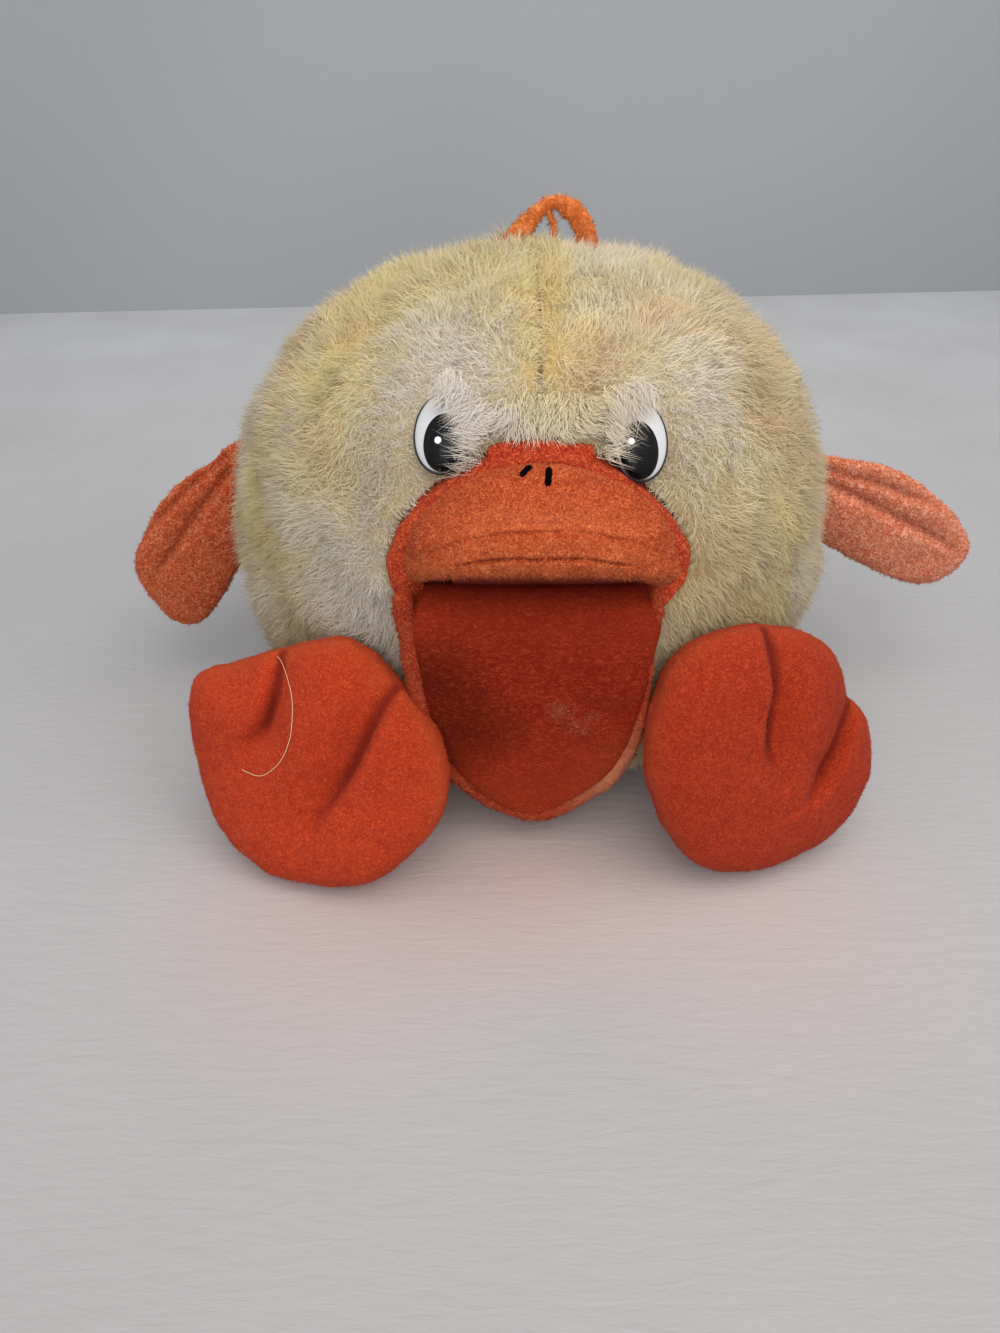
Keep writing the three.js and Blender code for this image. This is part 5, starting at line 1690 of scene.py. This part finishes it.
def makeWing(name, side):
    values = wings[name]
    points = np.array(values["outline"], float)
    ring = smoothOutline(points, 96)
    middle = points.mean(axis=0)

    def height(flat, share):
        return wings["half"] * crown(share) * (1 - foldDepth(flat, values["folds"], 8, 1.8))

    pad = padMesh(name + "Wing", ring * mm, middle * mm, height, height, 14)
    roughen(pad, 0.011, 40 + side, 0.0006)
    places = getPlaces(pad)
    x = wings["rootX"] + places[:, 0] - ring[:, 0].min() * mm
    turned = np.column_stack([side * x, wings["rootY"] - side * places[:, 2], places[:, 1]])
    setPlaces(pad, turned)
    cleanUp(pad, 1e-7)
    places = getPlaces(pad)
    tip = np.clip((np.abs(places[:, 0]) - 0.13) / 0.06, 0, 1)
    setAttribute(pad, "wear", tip * 0.15)

    def shadeOf(obj):
        spots = getPlaces(obj)
        outwards = side * spots[:, 0] - wings["rootX"] + ring[:, 0].min() * mm
        inFront = np.clip((wings["rootY"] - spots[:, 1]) / mm, 0, 1)
        return foldShade(np.column_stack([outwards, spots[:, 2]]), values["folds"]) * inFront

    # painted shade for the folds of the wing
    setAttribute(pad, "fold", shadeOf(pad))
    nodes = [f"{name}_wing_front_cover", f"{name}_wing_back_cover", f"{name}_wing_padding"]
    place(pad, f"{name}_wing", wingTerry[name], nodes)

    def comb(roots, outward):
        return np.array((side * 0.4, 0, -0.4)) + noiseVectorAt(roots, 0.003, 17) * 1.4

    pile = plant(name + "WingPile", pad, wings["hairs"], 50 + side, terryPile, comb)
    setAttribute(pile, "fold", shadeOf(pile))
    place(pile, f"{name}_wing", wingTerryPile[name], angle=None)


for name, side in sides:
    makeWing(name, side)
done("wings made")

# Feet
feet = {
    "left": {
        "outline": [
            (-13, 103.5), (8, 104.3), (29, 98), (39.5, 90), (44.5, 81), (48.5, 69.5), (57.5, 56),
            (60.5, 40), (56.5, 23), (44.5, 10.5), (26, 4.5), (5, 3), (-18, 13), (-33, 39),
            (-36.5, 60), (-33, 82), (-26, 96),
        ],
        "folds": [
            ([(9.5, 106), (11.7, 90.3), (10.4, 78.5), (6.3, 62.4), (9, 48.1)], -1),
            ([(52, 74), (42.2, 56.8), (35, 46.3), (28.6, 37.1), (22.7, 33.6)], 1),
        ],
        "belly": 0.08,
    },
    "right": {
        "outline": [
            (60.5, 73), (61.5, 46), (50.5, 17), (28, 2.5), (5, 1.5), (-21, 9), (-42, 38),
            (-44, 57), (-39.5, 71), (-33, 80), (-25.5, 87.5), (-15.5, 96), (-2, 101), (10, 97.5),
            (24, 91.5), (45, 82),
        ],
        "folds": [
            ([(23.1, 94), (22, 84.3), (22.4, 72.7), (25.7, 62.4), (31.4, 55.4)], 1),
            (
                [(-27, 92), (-21.8, 84.5), (-18.5, 76.9), (-13.7, 62.7), (-8, 48.5), (3.5, 28.8)],
                -1,
            ),
        ],
        "belly": 0.35,
    },
    "hair": [  # across and up the right sole
        (23.1, 89.7), (16.9, 85.4), (12.1, 78.9), (10.1, 70.1), (12, 60.2), (16.7, 51.8),
        (23.3, 46.2), (31.5, 46.8),
    ],
    "hairRadius": 0.11 * mm,
    "hairLift": 0.9 * mm,
    "front": 16 * mm,
    "back": 13 * mm,
    "lean": 14,
    "toeOut": 20,
    "x": 77 * mm,
    "y": -110 * mm,
    "hairs": 21000,
}
footPile = dict(shortPile, length=0.0010, width=0.00022)


def footFrame(side):
    toe = math.radians(feet["toeOut"])
    lean = math.radians(feet["lean"])
    across = Vector((side * math.cos(toe), math.sin(toe), 0))
    face = Vector(
        (side * math.sin(toe) * math.cos(lean), -math.cos(toe) * math.cos(lean), math.sin(lean))
    )
    upward = Vector(
        (-side * math.sin(toe) * math.sin(lean), math.cos(toe) * math.sin(lean), math.cos(lean))
    )
    turned = Matrix((across, upward, face)).transposed().to_4x4()
    return Matrix.Translation((side * feet["x"], feet["y"], 0)) @ turned


def footLocal(places, side):
    turned = footFrame(side)
    return (places - np.array(turned.translation)) @ np.array(turned.to_3x3())


def looseHair(pad, side):  # a stray hair that lies on the sole
    turned = footFrame(side)
    bends = evenly(rounded(feet["hair"]) * mm, 90)
    local = footLocal(getPlaces(pad), side)
    front = local[local[:, 2] > 0.002]
    path = []
    for x, y in bends:
        near = front[np.argsort(np.hypot(front[:, 0] - x, front[:, 1] - y))[:12]]
        path.append(tuple(turned @ Vector((x, y, near[:, 2].mean() + feet["hairLift"]))))

    def reach(along, turns):
        return 0 * turns + feet["hairRadius"]

    hair = sweptMesh("looseHair", path, reach, 6, (0, -1, 0))
    place(hair, "right_foot", furPile)


def makeFoot(name, side):
    values = feet[name]
    ring = smoothOutline(values["outline"], 110)
    middle = np.array((12, 50))

    def front(flat, share):  # stuffed fuller towards its lower end
        low = np.clip((45 * mm - flat[:, 1]) / (45 * mm), 0, 1)
        fuller = 1 + values["belly"] * low
        dome = np.sqrt(np.maximum(0, 1 - share ** (2.4 + 8 * values["belly"] * low)))
        return feet["front"] * fuller * dome * (1 - foldDepth(flat, values["folds"], 9, 2.0))

    def back(flat, share):
        return feet["back"] * crown(share)

    pad = padMesh(name + "Foot", ring * mm, middle * mm, front, back, 22)
    roughen(pad, 0.018, 60 + side, 0.0008)
    places = getPlaces(pad)
    seam = np.exp(-((places[:, 2] / 0.0011) ** 2))
    places = places - getNormals(pad) * (seam * 0.0006)[:, None]
    setPlaces(pad, places)
    places = getPlaces(pad)
    sag = np.clip((25 * mm - places[:, 1]) / (25 * mm), 0, 1) * np.maximum(0, places[:, 2])
    places[:, 1] -= 0.22 * sag
    setPlaces(pad, places)
    pad.data.transform(footFrame(side))
    cleanUp(pad, 1e-7)
    places = getPlaces(pad)
    places[:, 2] = np.maximum(places[:, 2], 0.2 * mm)
    setPlaces(pad, places)

    def shadeOf(obj):
        local = footLocal(getPlaces(obj), side)
        return foldShade(local[:, :2], values["folds"]) * np.clip(local[:, 2] / (2 * mm), 0, 1)

    def wearOf(obj):  # rubbed along the seam round the sole
        local = footLocal(getPlaces(obj), side)
        return np.exp(-(((local[:, 2] - 0.002) / 0.004) ** 2)) * 0.5

    setAttribute(pad, "wear", wearOf(pad))
    # painted shade for the folds of the sole
    setAttribute(pad, "fold", shadeOf(pad))
    nodes = [f"{name}_foot_sole", f"{name}_foot_instep", f"{name}_foot_stuffing"]
    place(pad, f"{name}_foot", soleVelour[name], nodes)

    def comb(roots, outward):
        return np.array((0, -0.1, -0.5)) + noiseVectorAt(roots, 0.006, 27) * 1.2

    def accept(centres, outward):
        return (centres[:, 2] > 0.002) * np.where(outward[:, 1] < 0.3, 1.0, 0.35)

    pile = plant(name + "FootPile", pad, feet["hairs"], 60 + side, footPile, comb, accept)
    setAttribute(pile, "wear", wearOf(pile))
    setAttribute(pile, "fold", shadeOf(pile))
    place(pile, f"{name}_foot", soleVelourPile[name], angle=None)
    if name == "right":
        looseHair(pad, side)
    leg = softCopy(f"{name}_leg", name + "Leg", 0.0016, 6)
    setAttribute(leg, "wear", np.zeros(len(leg.data.vertices)))
    place(leg, f"{name}_foot", velour, [f"{name}_leg"])


for name, side in sides:
    makeFoot(name, side)
done("feet made")

# Hanging loop
loop = {
    "path": [
        (-11.5, 198), (-10.5, 201.7), (-7.2, 203.9), (-2.9, 209.3), (0.9, 213.6), (5.5, 216.8),
        (9.8, 215.9), (15.2, 212.1), (18, 208.6), (19.5, 203), (20, 198),
    ],
    "half": [4.0, 4.1, 3.7, 3.0, 2.3, 2.3, 2.8, 3.5, 3.8, 3.9, 3.9],  # across, at those points
    "thin": 1.3 * mm,
    "strand": [(4.1, 215), (5.6, 210.8), (7.1, 208), (7.8, 200)],
    "y": ball["seamY"],
    "thread": 0.9 * mm,
    "hairs": 7000,
}
loopPile = dict(terryPile, length=0.0024, stray=0.9, width=0.00024)


def loopPath(points, count):
    flat = evenly(rounded(points) * mm, count)
    return np.column_stack([flat[:, 0], np.full(count, loop["y"]), flat[:, 1]])


def makeLoop():
    path = loopPath(loop["path"], 70)

    def reach(along, turns):
        wide = np.interp(along, np.linspace(0, 1, len(loop["half"])), loop["half"]) * mm
        return 1 / np.sqrt((np.cos(turns) / wide) ** 2 + (np.sin(turns) / loop["thin"]) ** 2)

    def threadReach(along, turns):
        return 0 * turns + loop["thread"]

    band = sweptMesh("hangingLoop", path, reach, 28, (0, 1, 0))
    strand = sweptMesh("loopStrand", loopPath(loop["strand"], 40), threadReach, 10)
    activate(band)
    strand.select_set(True)
    bpy.ops.object.join()
    roughen(band, 0.003, 71, 0.0005)
    setAttribute(band, "wear", np.full(len(band.data.vertices), 0.4))
    place(band, "loop", tape, ["hanging_loop"])
    fuzz = plant("loopFuzz", band, loop["hairs"], 73, loopPile, billComb)
    place(fuzz, "loop", tapePile, angle=None)


makeLoop()
done("loop made")

# Music box and fittings
casePlastic = plasticPaint("casePlastic", (0.90, 0.89, 0.86), 0.45)
buttonRed = plasticPaint("buttonPlastic", (0.75, 0.16, 0.10), 0.25, 0.2)
boardGreen = plasticPaint("boardGreen", (0.13, 0.36, 0.18), 0.4, 0.1)
siliconeGrey = plasticPaint("silicone", (0.25, 0.25, 0.26), 0.7)
washerPlastic = plasticPaint("washerPlastic", (0.80, 0.80, 0.78), 0.4)
conePaper = plasticPaint("conePaper", (0.08, 0.08, 0.08), 0.85)
plated = metalPaint("platedSteel", (0.72, 0.73, 0.74), 0.32)
fittings = {
    "music_box_cup": casePlastic,
    "music_box_lid": casePlastic,
    "music_button": buttonRed,
    "button_dome": siliconeGrey,
    "music_board": boardGreen,
    "speaker_frame": plated,
    "speaker_magnet": plated,
    "speaker_cone": conePaper,
    "left_eye_washer": washerPlastic,
    "right_eye_washer": washerPlastic,
    "button_cell_1": plated,
    "button_cell_2": plated,
    "button_cell_3": plated,
    "box_screw_1": plated,
    "box_screw_2": plated,
    "box_screw_3": plated,
}
for node, paint in fittings.items():
    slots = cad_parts[node].data.materials
    for k in range(len(slots)):
        slots[k] = paint
    if not slots:
        slots.append(paint)
done("fittings finished")

# Floor, backdrop and lights
studio = {
    "table": (0.70, 0.69, 0.685),
    "tablePatch": (0.66, 0.65, 0.645),
    "nearTableShaded": (0.60, 0.585, 0.575),
    "farTableLit": (0.80, 0.80, 0.80),
    "wall": (0.61, 0.62, 0.63),
    "wallFold": (0.65, 0.655, 0.66),
    "warm": (0.84, 0.64, 0.58),
    "glow": (  # light thrown back by the orange cloth: middle, radius and share
        ((0, -0.105, 0), 0.040, 0.34),
        ((-0.072, -0.120, 0), 0.052, 0.26),
        ((0.082, -0.120, 0), 0.052, 0.22),
    ),
    "halfWidth": 3,
    "wallHeight": 2.2,
    "edgeY": 0.634,  # of the table's far edge
    "edgeTurn": 4.5,
    "keyPower": 6.6,
    "keyPlace": (0.21, -0.36, 0.97),
    "keyColour": (1, 0.98, 0.95),
    "fillPower": 5.5,
    "fillPlace": (-0.15, -1.1, 0.75),
    "fillColour": (0.93, 0.96, 1),
    "lampSize": 0.9,
    "worldColour": (0.93, 0.95, 1.0, 1),
    "worldLevel": 0.75,
}


def stagePlane(name, corners, paint):
    obj = meshObject(name, corners, [(0, 1, 2, 3)])
    obj.data.materials.append(paint)


def tablePaint():
    paint = Paint("tablePaint", Specular_IOR_Level=0.3)
    brushed = paint.noise(0.004, 4, 0.6, 0.4, paint.stretched((0.25, 1, 1)))
    patch = paint.noise(0.09, 2, 0.5)
    base = tone(*studio["table"])
    # painted light: the table paler towards the back
    base = paint.mix(paint.between(paint.axis("Y"), 0.05, 0.50), base, tone(*studio["farTableLit"]))
    mottle = paint.between(patch, 0.3, 0.7, 0, 0.3)
    colour = paint.mix(mottle, base, tone(*studio["tablePatch"]))
    # painted shade: the table darker towards the front
    near = paint.between(paint.axis("Y"), -0.42, -0.12, 0.8, 0.0)
    colour = paint.mix(near, colour, tone(*studio["nearTableShaded"]))
    for point, radius, share in studio["glow"]:
        warm = paint.near(point, radius, radius * 0.8) * share
        colour = paint.mix(warm, colour, tone(*studio["warm"]))
    return paint.finish(colour, 0.55, brushed, 0.0006, 0.6)


def wallPaint():
    paint = Paint("wallPaint", Specular_IOR_Level=0.1)
    # painted light and shade of folds in the backdrop cloth, as paler patches
    folds = paint.noise(0.5, 1, 0.4)
    base = tone(*studio["wall"])
    colour = paint.mix(paint.between(folds, 0.35, 0.65), base, tone(*studio["wallFold"]))
    return paint.finish(colour, 0.9)


def addLight(name, power, location, target, colour):
    data = bpy.data.lights.new(name, "AREA")
    data.energy = power
    data.size = studio["lampSize"]
    data.color = colour
    obj = bpy.data.objects.new(name, data)
    scene.collection.objects.link(obj)
    obj.location = location
    facing = Vector(target) - Vector(location)
    obj.rotation_euler = facing.to_track_quat("-Z", "Y").to_euler()


def buildStudio(values):
    turn = math.tan(math.radians(values["edgeTurn"]))
    y = values["edgeY"]
    half, high = values["halfWidth"], values["wallHeight"]
    left, right = (-half, y - half * turn), (half, y + half * turn)
    table = [(-half, -half, 0), (half, -half, 0), (*right, 0), (*left, 0)]
    wall = [(*left, -0.02), (*right, -0.02), (*right, high), (*left, high)]
    stagePlane("table", table, tablePaint())
    stagePlane("backdrop", wall, wallPaint())
    middle = (0, 0, 0.08)
    for name in ("key", "fill"):
        power, spot = values[f"{name}Power"], values[f"{name}Place"]
        addLight(f"{name}Light", power, spot, middle, values[f"{name}Colour"])
    world = bpy.data.worlds.new("studio")
    world.use_nodes = True
    background = world.node_tree.nodes["Background"]
    background.inputs["Color"].default_value = values["worldColour"]
    background.inputs["Strength"].default_value = values["worldLevel"]
    scene.world = world


buildStudio(studio)
scene.view_settings.view_transform = "Standard"
done("studio lit")
